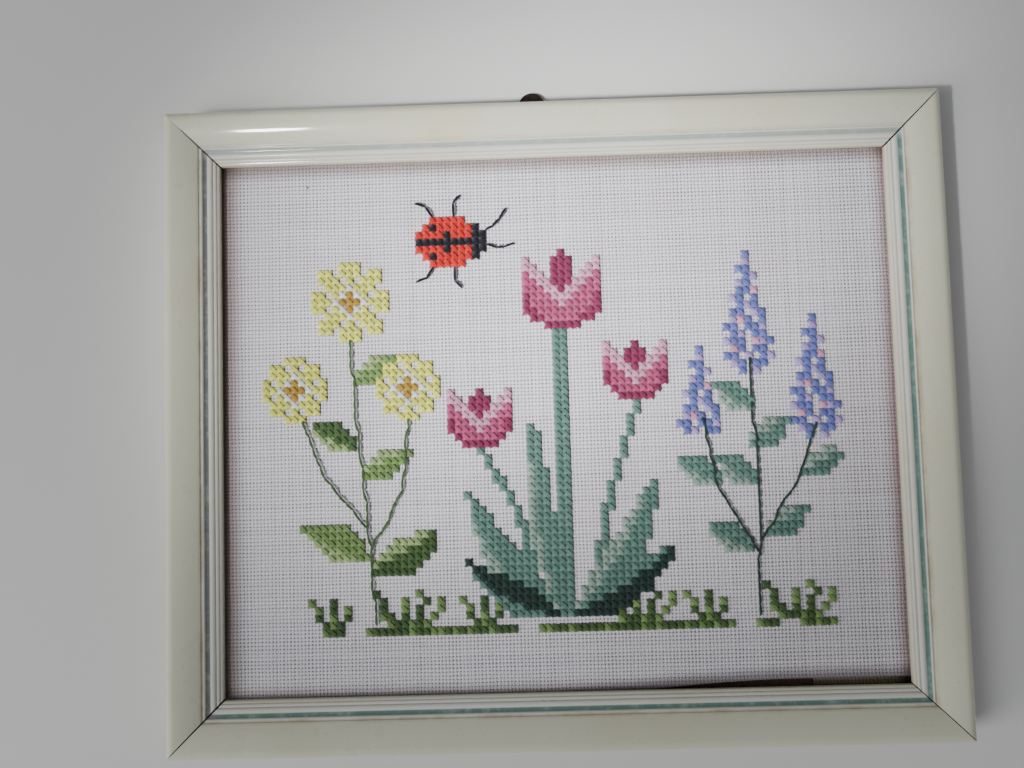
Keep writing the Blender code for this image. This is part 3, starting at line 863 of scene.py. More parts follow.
def make_linen_finish(settings):
    """Plain-woven linen: round threads over and under each other, open holes, dirt and small marks, with
    painted shade in the holes, where threads dip, along the edges and along the fold.
    """
    finish = Finish("plain_woven_linen", roughness=0.85)
    warp, weft = finish.parts(finish.add("Attribute", attribute_name="weave").outputs["Vector"])[:2]
    hole, height, fibre, shade = weave_threads(finish, warp, weft)
    place = finish.place(offset=(0.0, -MIDDLE_Y, 0.0))
    cloud = finish.noise(place, 14.0, 3.0)
    thread = finish.mix(finish.span(cloud, 0.35, 0.7), settings.thread, settings.aged_thread)
    x, y = finish.parts(place)[:2]
    thread = soil_and_shade_linen(finish, thread, x, y, settings)
    thread = finish.mix(1.0, thread, finish.vector(shade, shade, shade), "MULTIPLY")
    thread = mark_linen(finish, thread, x, y, SPECK, settings.brown_soil)
    thread = mark_linen(finish, thread, x, y, LINT, settings.thread)
    # Dark colour in the weave's holes: painted shade
    finish.surface(Base_Color=finish.mix(finish.times(hole, 0.85), thread, settings.hole))
    finish.surface(Sheen_Weight=0.15, Sheen_Roughness=0.5)
    finish.relief(finish.plus(height, finish.times(fibre, 0.3)), 0.00022, 0.8)
    return finish.material


# Threads of stranded cotton, by the letters that the charts use, in steps of 255
Thread = namedtuple("Thread", "name red green blue")
THREADS = {
    "r": Thread("rose", 178, 82, 118),
    "d": Thread("deep rose", 138, 50, 84),
    "p": Thread("pale pink", 214, 156, 180),
    "l": Thread("light moss", 160, 182, 122),
    "m": Thread("moss", 122, 150, 88),
    "k": Thread("dark moss", 76, 102, 58),
    "s": Thread("sage", 148, 170, 156),
    "t": Thread("teal", 100, 134, 122),
    "g": Thread("bottle green", 40, 62, 54),
    "b": Thread("blue", 108, 116, 180),
    "v": Thread("lilac", 172, 152, 204),
    "y": Thread("lemon", 226, 226, 108),
    "w": Thread("white", 228, 228, 226),
    "o": Thread("ochre", 178, 140, 56),
    "c": Thread("red", 204, 44, 36),
    "x": Thread("black", 30, 30, 38),
}

# Motifs worked from charts: a letter is a cross in that thread and a dot is bare linen
DAISY = (
    "....yyy....",
    ".yy.yyy.yy.",
    ".yyy.y.yyy.",
    "..yyywyyy..",
    "yy.ywowy.yy",
    "yyywooowyyy",
    "yy.ywowy.yy",
    "..yyywyyy..",
    ".yyy.y.yyy.",
    ".yy.yyy.yy.",
    "....yyy....",
)
SMALL_DAISY = (
    "...yyy...",
    ".yy.y.yy.",
    ".yyywyyy.",
    "y.ywowy.y",
    "yywooowyy",
    "y.ywowy.y",
    ".yyywyyy.",
    ".yy.y.yy.",
    "...yyy...",
)
TULIP = (
    ".....d.....",
    "p...ddd...p",
    "pp..ddd..pp",
    "rpp.ddd.ppr",
    "rrppdddpprr",
    "rrrppdpprrr",
    "drrrppprrrd",
    "drrrrprrrrd",
    "ddrrrrrrrdd",
    ".ddrrrrrdd.",
    "...ddddd...",
)
SMALL_TULIP = (
    "p...d...p",
    "pp.ddd.pp",
    "rppdddppr",
    "rrppdpprr",
    "drrppprrd",
    "drrrprrrd",
    ".drrrrrd.",
    "..ddddd..",
)
SPIKE = (
    "...b...",
    "...v...",
    "..bb...",
    "...bv..",
    "..vb...",
    "..bbp..",
    ".vb.b..",
    "..bvb..",
    ".bb.vb.",
    ".vpb.b.",
    "bb.bbv.",
    ".bv.bb.",
    "vbb.pvb",
    ".pb.bb.",
    "bb.v.bv",
    ".vb.bb.",
    "..b.v..",
)
LADYBIRD = (
    "..ccccc...",
    ".cxcccccx.",
    "ccccxcccxx",
    "xxxxxxxxxx",
    "ccccxcccxx",
    ".cxcccccx.",
    "..ccccc...",
)
TUFT = (
    "k.....m...",
    ".k..m..k.m",
    ".k..m.k..m",
    ".mk.k.k.m.",
    "..mkkmkm..",
)
SMALL_TUFT = (
    "m..k..",
    ".m.k.m",
    ".k.m.k",
    "..kmk.",
)


def work_motif(chart, motif, x, y):
    """Work a charted motif with its lowest row at y and its middle column at x."""
    for number, letters in enumerate(reversed(motif)):
        for column, letter in enumerate(letters):
            if letter != ".":
                chart[(x + column - len(letters) // 2, y + number)] = letter


def work_leaf(chart, x, y, length, width, angle, light, dark, bend=0.0):
    """Work a pointed leaf from its stalk at x, y: light above its rib and dark below."""
    turn = math.radians(angle)
    reach = int(length) + 1
    for column in range(x - reach, x + reach + 1):
        for row in range(y - reach, y + reach + 1):
            far = (column - x) * math.cos(turn) + (row - y) * math.sin(turn)
            share = far / length
            if not 0 <= share <= 1:
                continue
            aside = (row - y) * math.cos(turn) - (column - x) * math.sin(turn)
            aside -= bend * math.sin(math.pi * share)
            if abs(aside) <= width / 2 * math.sin(math.pi * share ** 0.8) + 0.35:
                chart[(column, row)] = light if aside > 0.15 * width else dark


def work_stem(chart, points, thread, thick=1):
    """Work a stem of crosses through its points."""
    for (x0, y0), (x1, y1) in zip(points, points[1:]):
        steps = 2 * max(abs(x1 - x0), abs(y1 - y0)) + 1
        for step in range(steps + 1):
            column = round(x0 + (x1 - x0) * step / steps)
            row = round(y0 + (y1 - y0) * step / steps)
            for extra in range(thick):
                chart[(column + extra, row)] = thread


def chart_daisies():
    """Three daisies at the left."""
    chart = {}
    work_leaf(chart, -27, -18, 10, 4.4, 155, "l", "m")
    work_leaf(chart, -26, -20, 10, 4.4, 28, "l", "k")
    work_leaf(chart, -29, -3, 7, 3.2, 148, "l", "k")
    work_leaf(chart, -27, -7, 7, 3.2, 30, "l", "m")
    work_leaf(chart, -28, 6, 6, 2.6, 35, "l", "m")
    work_motif(chart, DAISY, -29, 12)
    work_motif(chart, SMALL_DAISY, -37, 1)
    work_motif(chart, SMALL_DAISY, -21, 1)
    return chart


def chart_tulips():
    """Three tulips in the middle."""
    chart = {}
    work_motif(chart, TULIP, 1, 13)
    work_motif(chart, SMALL_TULIP, -11, -3)
    work_motif(chart, SMALL_TULIP, 11, 3)
    return chart


def chart_tulip_leaves():
    """The tulips' stems and leaves."""
    chart = {}
    work_stem(chart, [(0, -26), (0, 12)], "t", 2)
    work_stem(chart, [(-3, -24), (-6, -12), (-11, -4)], "t")
    work_stem(chart, [(4, -24), (7, -10), (11, 2)], "t")
    work_leaf(chart, -1, -26, 20, 4.2, 126, "s", "t", 1.6)
    work_leaf(chart, 2, -26, 21, 4.2, 58, "s", "t", -1.6)
    work_leaf(chart, 0, -26, 26, 3.4, 98, "s", "t", 1.0)
    work_leaf(chart, 2, -26, 16, 3.6, 32, "t", "g", -1.0)
    work_leaf(chart, -1, -26, 14, 3.6, 150, "t", "g", 1.0)
    return chart


def chart_spikes():
    """Three spikes of small florets at the right."""
    chart = {}
    work_motif(chart, SPIKE, 27, 6)
    work_motif(chart, SPIKE, 36, -3)
    work_motif(chart, SPIKE[:12], 20, -2)
    leaves = ((27, -4, 35), (27, -9, 145), (27, 1, 145), (34, -8, 25), (22, -9, 152), (29, -16, 35),
              (26, -18, 150))
    for x, y, angle in leaves:
        work_leaf(chart, x, y, 6, 3.0, angle, "s", "t")
    return chart


def chart_ground():
    """Tufts of grass along a broken row of moss below the plants."""
    chart = {}
    for x in range(-36, 38):
        if uneven(x // 3, 0, 9) > 0.25:
            chart[(x, -28)] = "k" if uneven(x, 0, 4) > 0.5 else "m"
    tufts = ((-32, SMALL_TUFT), (-21, TUFT), (-11, SMALL_TUFT), (11, TUFT), (20, SMALL_TUFT), (33, TUFT))
    for x, motif in tufts:
        work_motif(chart, motif, x, -27)
    return chart


def chart_ladybird():
    """A ladybird above the daisies."""
    chart = {}
    work_motif(chart, LADYBIRD, -14, 22)
    return chart


def make_charts():
    """All charts by their pieces' names, each without the cells that an earlier one has taken."""
    charts = {
        "crosses_daisies": chart_daisies(),
        "crosses_tulips": chart_tulips(),
        "crosses_tulip_leaves": chart_tulip_leaves(),
        "crosses_spikes": chart_spikes(),
        "crosses_ground": chart_ground(),
        "crosses_ladybird": chart_ladybird(),
    }
    taken = set()
    for chart in charts.values():
        for cell in [cell for cell in chart if cell in taken]:
            del chart[cell]
        taken.update(chart)
    return charts


# Lines worked over the crosses, in cells from the middle
Line = namedtuple("Line", "thread points")
LINES = (
    Line("k", ((-26, -27), (-27, -12), (-28.5, 2), (-29, 12))),
    Line("k", ((-27, -14), (-33, -7), (-36, 1))),
    Line("k", ((-26.5, -17), (-22, -9), (-21, 1))),
    Line("g", ((27, -27), (27.5, -10), (27, 8))),
    Line("g", ((27.5, -17), (33, -9), (36, -1))),
    Line("g", ((27.5, -19), (22, -10), (20, 0))),
    Line("x", ((-9.5, 26.5), (-7.5, 28), (-6.5, 29.5))),
    Line("x", ((-9.5, 24.5), (-7, 24), (-5.5, 24.5))),
    Line("x", ((-17, 28.5), (-18, 30), (-19.5, 30.5))),
    Line("x", ((-14, 28.7), (-14, 30.5), (-13, 31.5))),
    Line("x", ((-17, 21.5), (-18, 20), (-19.5, 19.5))),
    Line("x", ((-14, 21.3), (-14, 19.5), (-13, 18.5))),
)


def line_stitches(points):
    """Pairs of holes, in threads, that a line of back stitch goes between."""
    pairs = []
    for start, end in zip(points, points[1:]):
        first = Vector(start) * CELL_THREADS
        last = Vector(end) * CELL_THREADS
        parts = max(1, round((last - first).length / LINE_STITCH_THREADS))
        holes = [first.lerp(last, part / parts) for part in range(parts + 1)]
        holes = [(round(hole.x), round(hole.y)) for hole in holes]
        pairs += [pair for pair in zip(holes, holes[1:]) if pair[0] != pair[1]]
    return pairs


def add_strand(bm, ply, reach, turn, offset, rise, radius):
    """One strand of cotton from hole to hole, arched over the cloth and closed at both ends."""
    ring = bmesh.ops.create_circle(bm, cap_ends=True, segments=STRAND_SIDES, radius=radius)["verts"]
    bmesh.ops.rotate(bm, verts=ring, matrix=Matrix.Rotation(math.pi / 2, 3, "Y"))
    end_face = ring[0].link_faces[0]
    strand = set(ring)
    sections = [list(ring)]
    for step in range(STRAND_STEPS):
        extruded = bmesh.ops.extrude_face_region(bm, geom=[end_face])["geom"]
        end_face = only(bmesh.types.BMFace, extruded)[0]
        section = only(bmesh.types.BMVert, extruded)
        strand.update(section)
        sections.append(section)
    for step, section in enumerate(sections):
        share = step / STRAND_STEPS
        arch = math.sin(math.pi * share)
        narrow = END_THICKNESS + (1 - END_THICKNESS) * arch ** 0.5
        along = (share - 0.5) * reach * END_OVERLAP
        aside = offset * (END_SPREAD + (1 - END_SPREAD) * arch ** 0.6)
        for vert in section:
            vert.co.y = vert.co.y * narrow + aside
            vert.co.z = vert.co.z * narrow + rise * arch ** 0.75 - radius * (1 - arch) * END_TUCK
            vert.co.x += along
    for face in {face for vert in strand for face in vert.link_faces}:
        for loop in face.loops:
            share = (loop.vert.co.x / reach) + 0.5
            angle = math.atan2(loop.vert.co.z - face.calc_center_median().z, loop.vert.co.y - offset)
            loop[ply].uv = (angle / math.tau + offset * PLY_SHIFT, share)
    bmesh.ops.rotate(bm, verts=list(strand), matrix=Matrix.Rotation(turn, 3, "Z"))


def make_pattern_mesh(name, legs, strands, radius, spacing, material):
    """A hidden mesh of one stitch, to be set down at each place; a leg is its reach, turn and rise."""
    bm = bmesh.new()
    ply = bm.loops.layers.uv.new("ply")
    for reach, turn, rise in legs:
        for strand in range(strands):
            offset = (strand - (strands - 1) / 2) * spacing
            add_strand(bm, ply, reach, turn, offset, rise, radius)
    bmesh.ops.recalc_face_normals(bm, faces=bm.faces)
    return mesh_of(name, bm, [material])


def place_stitches(name, pattern, spots, material):
    """Set the pattern down at each spot, with Geometry Nodes, and keep the result as one mesh."""
    points = bpy.data.meshes.new(name + "_spots")
    points.from_pydata([spot.place for spot in spots], [], [])
    for key, kind, reader in (("turn", "FLOAT_VECTOR", "vector"), ("size", "FLOAT_VECTOR", "vector"),
                              ("thread_color", "FLOAT_COLOR", "color"), ("shade", "FLOAT", "value")):
        attribute = points.attributes.new(key, kind, "POINT")
        flat = []
        for spot in spots:
            value = getattr(spot, key)
            flat += list(value) if hasattr(value, "__len__") else [value]
        attribute.data.foreach_set(reader, flat)
    holder = add_object(name + "_spots", points)
    stitch = add_object(name + "_stitch", pattern)
    modifier = holder.modifiers.new("stitches", "NODES")
    modifier.node_group = stitch_nodes(stitch)
    bpy.context.view_layer.update()
    graph = bpy.context.evaluated_depsgraph_get()
    mesh = bpy.data.meshes.new_from_object(holder.evaluated_get(graph), depsgraph=graph)
    mesh.name = name
    bpy.data.objects.remove(holder)
    bpy.data.objects.remove(stitch)
    bpy.data.node_groups.remove(bpy.data.node_groups["set_down_stitches"])
    mesh.materials.clear()
    bm = bmesh.new()
    bm.from_mesh(mesh)
    lay_out_from_above(bm)
    return finish_piece(name, bm, [material])


def stitch_nodes(stitch):
    """Nodes that set one object down at every point, turned and sized by the point's own values."""
    group = bpy.data.node_groups.new("set_down_stitches", "GeometryNodeTree")
    group.interface.new_socket("Geometry", in_out="INPUT", socket_type="NodeSocketGeometry")
    group.interface.new_socket("Geometry", in_out="OUTPUT", socket_type="NodeSocketGeometry")
    nodes = group.nodes
    given = nodes.new("NodeGroupInput")
    result = nodes.new("NodeGroupOutput")
    source = nodes.new("GeometryNodeObjectInfo")
    source.inputs["Object"].default_value = stitch
    setter = nodes.new("GeometryNodeInstanceOnPoints")
    realize = nodes.new("GeometryNodeRealizeInstances")
    group.links.new(given.outputs[0], setter.inputs["Points"])
    group.links.new(source.outputs["Geometry"], setter.inputs["Instance"])
    for key, socket in (("turn", "Rotation"), ("size", "Scale")):
        reader = nodes.new("GeometryNodeInputNamedAttribute")
        reader.data_type = "FLOAT_VECTOR"
        reader.inputs["Name"].default_value = key
        group.links.new(reader.outputs["Attribute"], setter.inputs[socket])
    group.links.new(setter.outputs[0], realize.inputs[0])
    group.links.new(realize.outputs[0], result.inputs[0])
    return group


Spot = namedtuple("Spot", "place turn size thread_color shade")


def cross_spots(chart):
    """Where each cross of a chart sits on the cloth."""
    spots = []
    for (column, row), thread in sorted(chart.items()):
        x, y = cloth_point(column * CELL_THREADS, row * CELL_THREADS)
        height = cloth_top(x, y) - STITCH_SINK + CROSS_RISE_UNEVEN * uneven(column, row, 11)
        turn = math.radians(CROSS_TURN_UNEVEN) * (uneven(column, row, 12) - 0.5)
        size = CROSS_SIZE_LEAST + CROSS_SIZE_UNEVEN * uneven(column, row, 13)
        color = (*linear(*THREADS[thread][1:]), 1.0)
        shade = uneven(column, row, 14)
        spots.append(Spot((x, y + MIDDLE_Y, height), (0, 0, turn), (size, size, size), color, shade))
    return spots


def line_spots(lines):
    """Where each back stitch of the lines sits on the cloth."""
    spots = []
    for line in lines:
        for first, last in line_stitches(line.points):
            start = Vector(cloth_point(*first))
            end = Vector(cloth_point(*last))
            middle = (start + end) / 2
            run = end - start
            shade = uneven(first[0], first[1], 15)
            height = cloth_top(*middle) + LINE_LIFT
            color = (*linear(*THREADS[line.thread][1:]), 1.0)
            spots.append(Spot((middle.x, middle.y + MIDDLE_Y, height), (0, 0, math.atan2(run.y, run.x)),
                              (run.length / PITCH_X, 1, 1), color, shade))
    return spots


def stitched_holes(charts, lines):
    """Every hole of the weave that a needle has gone through."""
    holes = set()
    for chart in charts:
        for column, row in chart:
            for side_x in (-1, 1):
                for side_y in (-1, 1):
                    holes.add((column * CELL_THREADS + side_x, row * CELL_THREADS + side_y))
    for line in lines:
        for pair in line_stitches(line.points):
            holes.update(pair)
    return holes


def make_cotton(settings):
    """Stranded cotton: soft sheen, and plies that twist round each strand."""
    finish = Finish("stranded_cotton", roughness=0.55)
    tint = finish.add("Attribute", attribute_name="thread_color").outputs["Color"]
    shade = finish.add("Attribute", attribute_name="shade").outputs["Fac"]
    around, along = finish.parts(finish.add("UVMap", uv_map="ply").outputs[0])[:2]
    twist = finish.plus(finish.times(around, 2.0), finish.times(along, settings.twists))
    wave = finish.math("SINE", finish.times(twist, math.tau))
    plies = finish.plus(finish.times(wave, 0.5), 0.5)
    fluff = finish.noise(finish.place(), 5200.0, 2.0)
    value = finish.plus(0.82, finish.times(shade, 0.22))
    # Painted shade in the grooves between the plies, and a faint painted highlight on their crests
    value = finish.times(value, finish.span(plies, 0.0, 0.7, 0.82, 1.04))
    value = finish.times(value, finish.span(fluff, 0.3, 0.7, 0.9, 1.08))
    finish.surface(Base_Color=finish.mix(1.0, tint, finish.vector(value, value, value), "MULTIPLY"))
    finish.surface(Sheen_Weight=0.25, Sheen_Roughness=0.4)
    finish.relief(finish.plus(plies, finish.times(fluff, 0.4)), 0.00006, 0.8)
    return finish.material


def turned_shape(profile, steps):
    """A bmesh turned about its Z axis from radii and heights, closed at both poles."""
    bm = bmesh.new()
    verts = [bm.verts.new((radius, 0, height)) for radius, height in profile]
    edges = [bm.edges.new(pair) for pair in zip(verts, verts[1:])]
    bmesh.ops.spin(bm, geom=verts + edges, cent=(0, 0, 0), axis=(0, 0, 1), angle=math.tau, steps=steps,
                   use_merge=True)
    bmesh.ops.remove_doubles(bm, verts=bm.verts, dist=WELD)
    bmesh.ops.recalc_face_normals(bm, faces=bm.faces)
    return bm


def nail_profile(nail):
    """A nail with its head's top at 0 and its shank running down to a short point."""
    edge = nail.head_radius
    low = nail.head_thickness
    return ((0, 0), (edge * 0.8, -nail.dome * 0.4), (edge, -low * 0.4), (edge * 0.97, -low),
            (nail.radius, -low), (nail.radius, 2 * nail.radius - nail.length), (0, -nail.length))


def make_nail(name, nail, matrix, material, node):
    """One nail in its place."""
    bm = turned_shape(nail_profile(nail), NAIL_STEPS)
    bmesh.ops.transform(bm, matrix=matrix, verts=bm.verts)
    return finish_piece(name, bm, [material], [node], smooth_angle=40)


def hanger_outline():
    """Round head and straight body of the hanging plate, anticlockwise, from the rail's outer edge."""
    side = math.acos(HALF_BODY / HEAD_RADIUS)
    points = []
    for step in range(HEAD_STEPS + 1):
        angle = -side + (math.pi + 2 * side) * step / HEAD_STEPS
        points.append((HEAD_RADIUS * math.cos(angle), EYE_OUT + HEAD_RADIUS * math.sin(angle)))
    for side_x, first_angle in ((-1, math.pi), (1, 1.5 * math.pi)):
        centre_x = side_x * (HALF_BODY - BODY_CORNER)
        centre_y = BODY_LOW + BODY_CORNER
        for step in range(CORNER_STEPS + 1):
            angle = first_angle + math.pi / 2 * step / CORNER_STEPS
            x = centre_x + BODY_CORNER * math.cos(angle)
            y = centre_y + BODY_CORNER * math.sin(angle)
            points.append((x, y))
    return points


def add_loop(bm, points, height):
    """A closed loop of edges over the hanging plate's eye."""
    verts = [bm.verts.new((HANGER_X + x, TOP + y, height)) for x, y in points]
    return [bm.edges.new(pair) for pair in zip(verts, verts[1:] + verts[:1])]


def circle_points(radius):
    """A circle round the hanging plate's eye."""
    turns = [math.tau * step / HEAD_STEPS for step in range(HEAD_STEPS)]
    return [(radius * math.cos(turn), EYE_OUT + radius * math.sin(turn)) for turn in turns]


def make_hanger(material):
    """The metal plate with its dished eye, by which the frame hangs."""
    outline = hanger_outline()
    centre = Vector((0, (EYE_OUT + BODY_LOW) / 2))
    shrunk = []
    for x, y in outline:
        away = Vector((x, y)) - centre
        shrunk.append(tuple(centre + away * (1 - PLATE_ROUND / away.length)))
    front = PLATE_BACK + PLATE_THICKNESS
    bm = bmesh.new()
    rim = [
        add_loop(bm, outline, PLATE_BACK),
        add_loop(bm, outline, front - PLATE_ROUND),
        add_loop(bm, shrunk, front),
    ]
    eye = [
        add_loop(bm, circle_points(DISH_RADIUS + PLATE_ROUND), front),
        add_loop(bm, circle_points(DISH_RADIUS), front - PLATE_ROUND / 2),
        add_loop(bm, circle_points(HOLE_RADIUS + PLATE_ROUND), front - DISH_DEPTH + PLATE_ROUND / 4),
        add_loop(bm, circle_points(HOLE_RADIUS), front - DISH_DEPTH - PLATE_ROUND / 2),
        add_loop(bm, circle_points(HOLE_RADIUS), PLATE_BACK),
    ]
    for loops in (rim, eye):
        for first, second in zip(loops, loops[1:]):
            bmesh.ops.bridge_loops(bm, edges=first + second)
    for edges, facing in ((rim[-1] + eye[0], 1), (rim[0] + eye[-1], -1)):
        bmesh.ops.triangle_fill(bm, use_beauty=True, edges=edges, normal=(0, 0, facing))
    bmesh.ops.recalc_face_normals(bm, faces=bm.faces)
    return finish_piece("hanging_plate", bm, [material], ["hanger_plate"], smooth_angle=35)


def make_metal(name, bright, dull, roughness, scale):
    """Metal with dull patches and fine scratches."""
    finish = Finish(name, roughness=roughness, metallic=0.9)
    place = finish.place()
    patches = finish.noise(place, scale, 4.0, 0.6)
    color = finish.ramp(patches, ((0.35, dull), (0.65, bright)))
    rough = finish.span(patches, 0.3, 0.7, roughness + 0.2, roughness)
    finish.surface(Base_Color=color, Roughness=rough)
    finish.relief(finish.noise(place, scale * 5, 2.0), 0.00003, 0.5)
    return finish.material


def make_board_finish():
    """Hardboard: pressed brown fibres with paler flecks."""
    finish = Finish("pressed_hardboard", roughness=0.7)
    place = finish.place()
    fibres = finish.noise(place, 1400.0, 3.0, 0.7)
    patches = finish.noise(place, 18.0, 3.0)
    brown = finish.ramp(fibres, (
        (0.3, linear(84, 64, 54)), (0.55, linear(112, 86, 72)), (0.75, linear(138, 108, 90))))
    patchy = finish.span(patches, 0.4, 0.7, 0.0, 0.4)
    finish.surface(Base_Color=finish.mix(patchy, brown, linear(98, 74, 60)))
    finish.relief(fibres, 0.00008, 0.6)
    return finish.material


def make_card_finish():
    """Grey pulp card."""
    finish = Finish("grey_pulp_card", roughness=0.9)
    pulp = finish.noise(finish.place(), 1800.0, 3.0, 0.7)
    finish.surface(Base_Color=finish.ramp(pulp, (
        (0.3, linear(138, 130, 120)), (0.7, linear(178, 170, 158)))))
    finish.relief(pulp, 0.00005, 0.5)
    return finish.material


def aim(holder, place, target):
    """Put a light or camera in its place, pointing at its target."""
    holder.location = place
    holder.rotation_euler = (Vector(target) - Vector(place)).to_track_quat("-Z", "Y").to_euler()


def add_light(light, place, target, power, tint):
    """Put a light in its place."""
    light.energy = power
    light.color = tint
    holder = add_object(light.name, light)
    aim(holder, place, target)
    return holder


def add_soft_light(soft, power):
    """A soft square light that doesn't shine in the lacquer."""
    light = bpy.data.lights.new(soft.name, "AREA")
    light.size = soft.width
    add_light(light, soft.place, (0, MIDDLE_Y, 0), power, soft.tint).visible_glossy = False


def add_pool_light(pool, power):
    """A round light that fades out from the middle of its pool."""
    light = bpy.data.lights.new(pool.name, "SPOT")
    light.shadow_soft_size = pool.radius
    light.spot_size = math.radians(pool.spread)
    light.spot_blend = 1.0
    add_light(light, pool.place, pool.target, power, pool.tint).visible_glossy = pool.shines


def make_floor(color):
    """A plain floor just under the frame."""
    bm = bmesh.new()
    bmesh.ops.create_grid(bm, x_segments=1, y_segments=1, size=FLOOR_SIZE)
    bmesh.ops.translate(bm, verts=bm.verts, vec=(0, 0, -FLOOR_DROP))
    finish = Finish("pale_floor", roughness=0.8)
    finish.surface(Base_Color=color)
    floor = add_object("floor", mesh_of("floor", bm, [finish.material]))


def make_sky(strength):
    """Even light from all round."""
    world = bpy.data.worlds.new("studio")
    world.use_nodes = True
    background = world.node_tree.nodes["Background"]
    background.inputs["Color"].default_value = SKY_TINT
    background.inputs["Strength"].default_value = strength
    bpy.context.scene.world = world


def make_camera():
    """The camera over the picture, turned as the photograph was."""
    camera = bpy.data.cameras.new("camera")
    camera.sensor_width = SENSOR_WIDTH
    camera.lens = SENSOR_WIDTH * FOCAL_PIXELS / PHOTO_WIDTH
    camera.clip_start = 0.01
    holder = add_object("camera", camera)
    turn = Vector([math.radians(part) for part in CAMERA_TURN_AXIS])
    place = Vector(CAMERA_PLACE) + Vector((0, MIDDLE_Y, 0))
    holder.matrix_world = Matrix.Translation(place) @ Matrix.Rotation(turn.length, 4, turn.normalized())
    bpy.context.scene.camera = holder


def color_setting(name, description, red, green, blue):
    """A colour that a user may change, with its default in steps of 255."""
    return bpy.props.FloatVectorProperty(
        name=name, description=description, subtype="COLOR", size=3, min=0.0, max=1.0,
        default=linear(red, green, blue))


def size_setting(name, description, metres):
    """A small length that a user may change."""
    return bpy.props.FloatProperty(
        name=name, description=description, unit="LENGTH", precision=5, min=0.0, soft_max=0.002,
        default=metres)


def power_setting(name, description, watts):
    """The power of a light."""
    return bpy.props.FloatProperty(
        name=name, description=description, unit="POWER", min=0.0, default=watts)


class MouldingSettings(bpy.types.PropertyGroup):
    """Colours of the frame's lacquer."""

    lacquer: color_setting("Lacquer", "Colour of the broad outer dome", 211, 208, 185)
    groove: color_setting("Groove", "Yellowed colour in the groove", 166, 148, 116)
    band: color_setting("Band", "Painted grey-green band", 92, 124, 114)
    faded_band: color_setting("Faded band", "The band where it has gone grey", 114, 116, 112)
    bead: color_setting("Beads", "Colour of the inner beads", 212, 209, 200)
    # Lines between the beads: dirt and painted shade
    line: color_setting("Lines", "Dirt in the lines between the beads", 192, 187, 174)
    yellowing: color_setting("Yellowing", "Tint of the aged patches", 240, 234, 206)
    dirt: color_setting("Dirt", "Colour of small specks", 150, 138, 108)


class LinenSettings(bpy.types.PropertyGroup):
    """Weave and colours of the linen."""

    thread_drift: size_setting("Thread drift", "How far a thread wanders from its place", 0.0001)
    hole_depth: size_setting("Hole depth", "Depth of the holes between threads", 0.00026)
    stitched_hole_depth: size_setting("Stitched hole depth", "Depth of holes with cotton in them", 0.00042)
    thread: color_setting("Thread", "Colour of clean threads", 239, 233, 239)
    aged_thread: color_setting("Aged thread", "Colour where the cloth has yellowed", 232, 224, 228)
    # Tints along the cloth's edges: dirt and painted shade from the frame's lip
    brown_soil: color_setting("Brown soil", "Tint near the left, top and bottom edges", 160, 140, 128)
    red_soil: color_setting("Red soil", "Tint near the right edge", 172, 140, 136)
    fold_shade: color_setting("Fold", "Tint along the fold of the short edge", 104, 84, 90)
    # The turned-under layer's tint: its olive colour and painted shade
    tongue_tint_and_shade: color_setting("Tongue", "Tint of the layer under the fold", 220, 212, 178)
    # Colour in the holes of the weave: painted shade
    hole: color_setting("Holes", "Colour in the holes of the weave", 98, 92, 98)


class StitchSettings(bpy.types.PropertyGroup):
    """Strands of the cotton."""

    strand_radius: size_setting("Strand radius", "Radius of a strand in a cross", 0.00029)
    strand_spacing: size_setting("Strand spacing", "Distance between strands in a cross", 0.00047)
    line_radius: size_setting("Line radius", "Radius of a strand in a back stitch", 0.00030)
    line_spacing: size_setting("Line spacing", "Distance between strands in a back stitch", 0.00040)
    twists: bpy.props.FloatProperty(
        name="Twists", description="Turns of the plies along one stitch", default=4.0, min=0.0, max=20.0)


class StageSettings(bpy.types.PropertyGroup):
    """Floor and light."""

    floor: color_setting("Floor", "Colour of the plain floor", 222, 220, 216)
    key_power: power_setting("Softbox", "Power of the soft light at the upper left", 6.2)
    side_power: power_setting("Low side light", "Power of the low light at the left", 11.0)
    fill_power: power_setting("Pool light", "Power of the round light on the cloth above its middle", 134.0)
    streak_power: power_setting("Streak light", "Power of the small light that shines in the lacquer", 9.0)
    sky: bpy.props.FloatProperty(
        name="Sky", description="Strength of the light from all round", default=0.24, min=0.0, max=10.0)


class EMBROIDERY_OT_stage(bpy.types.Operator):
    """Set up the floor, the lights and the camera"""

    bl_idname = "embroidery.stage"
    bl_label = "Stage"

    def execute(self, context):
        settings = context.scene.embroidery_stage
        make_camera()
        make_floor(settings.floor)
        for light in SOFT_LIGHTS:
            add_soft_light(light, getattr(settings, light.power))
        for light in POOL_LIGHTS:
            add_pool_light(light, getattr(settings, light.power))
        make_sky(settings.sky)
        return {"FINISHED"}


class EMBROIDERY_OT_moulding(bpy.types.Operator):
    """Make the four mitred lengths of lacquered moulding"""

    bl_idname = "embroidery.moulding"
    bl_label = "Moulding"

    def execute(self, context):
        materials = [make_lacquer(context.scene.embroidery_moulding), make_bare_wood(), make_mitre_finish()]
        for rail in RAILS:
            make_rail(rail, materials)
        return {"FINISHED"}


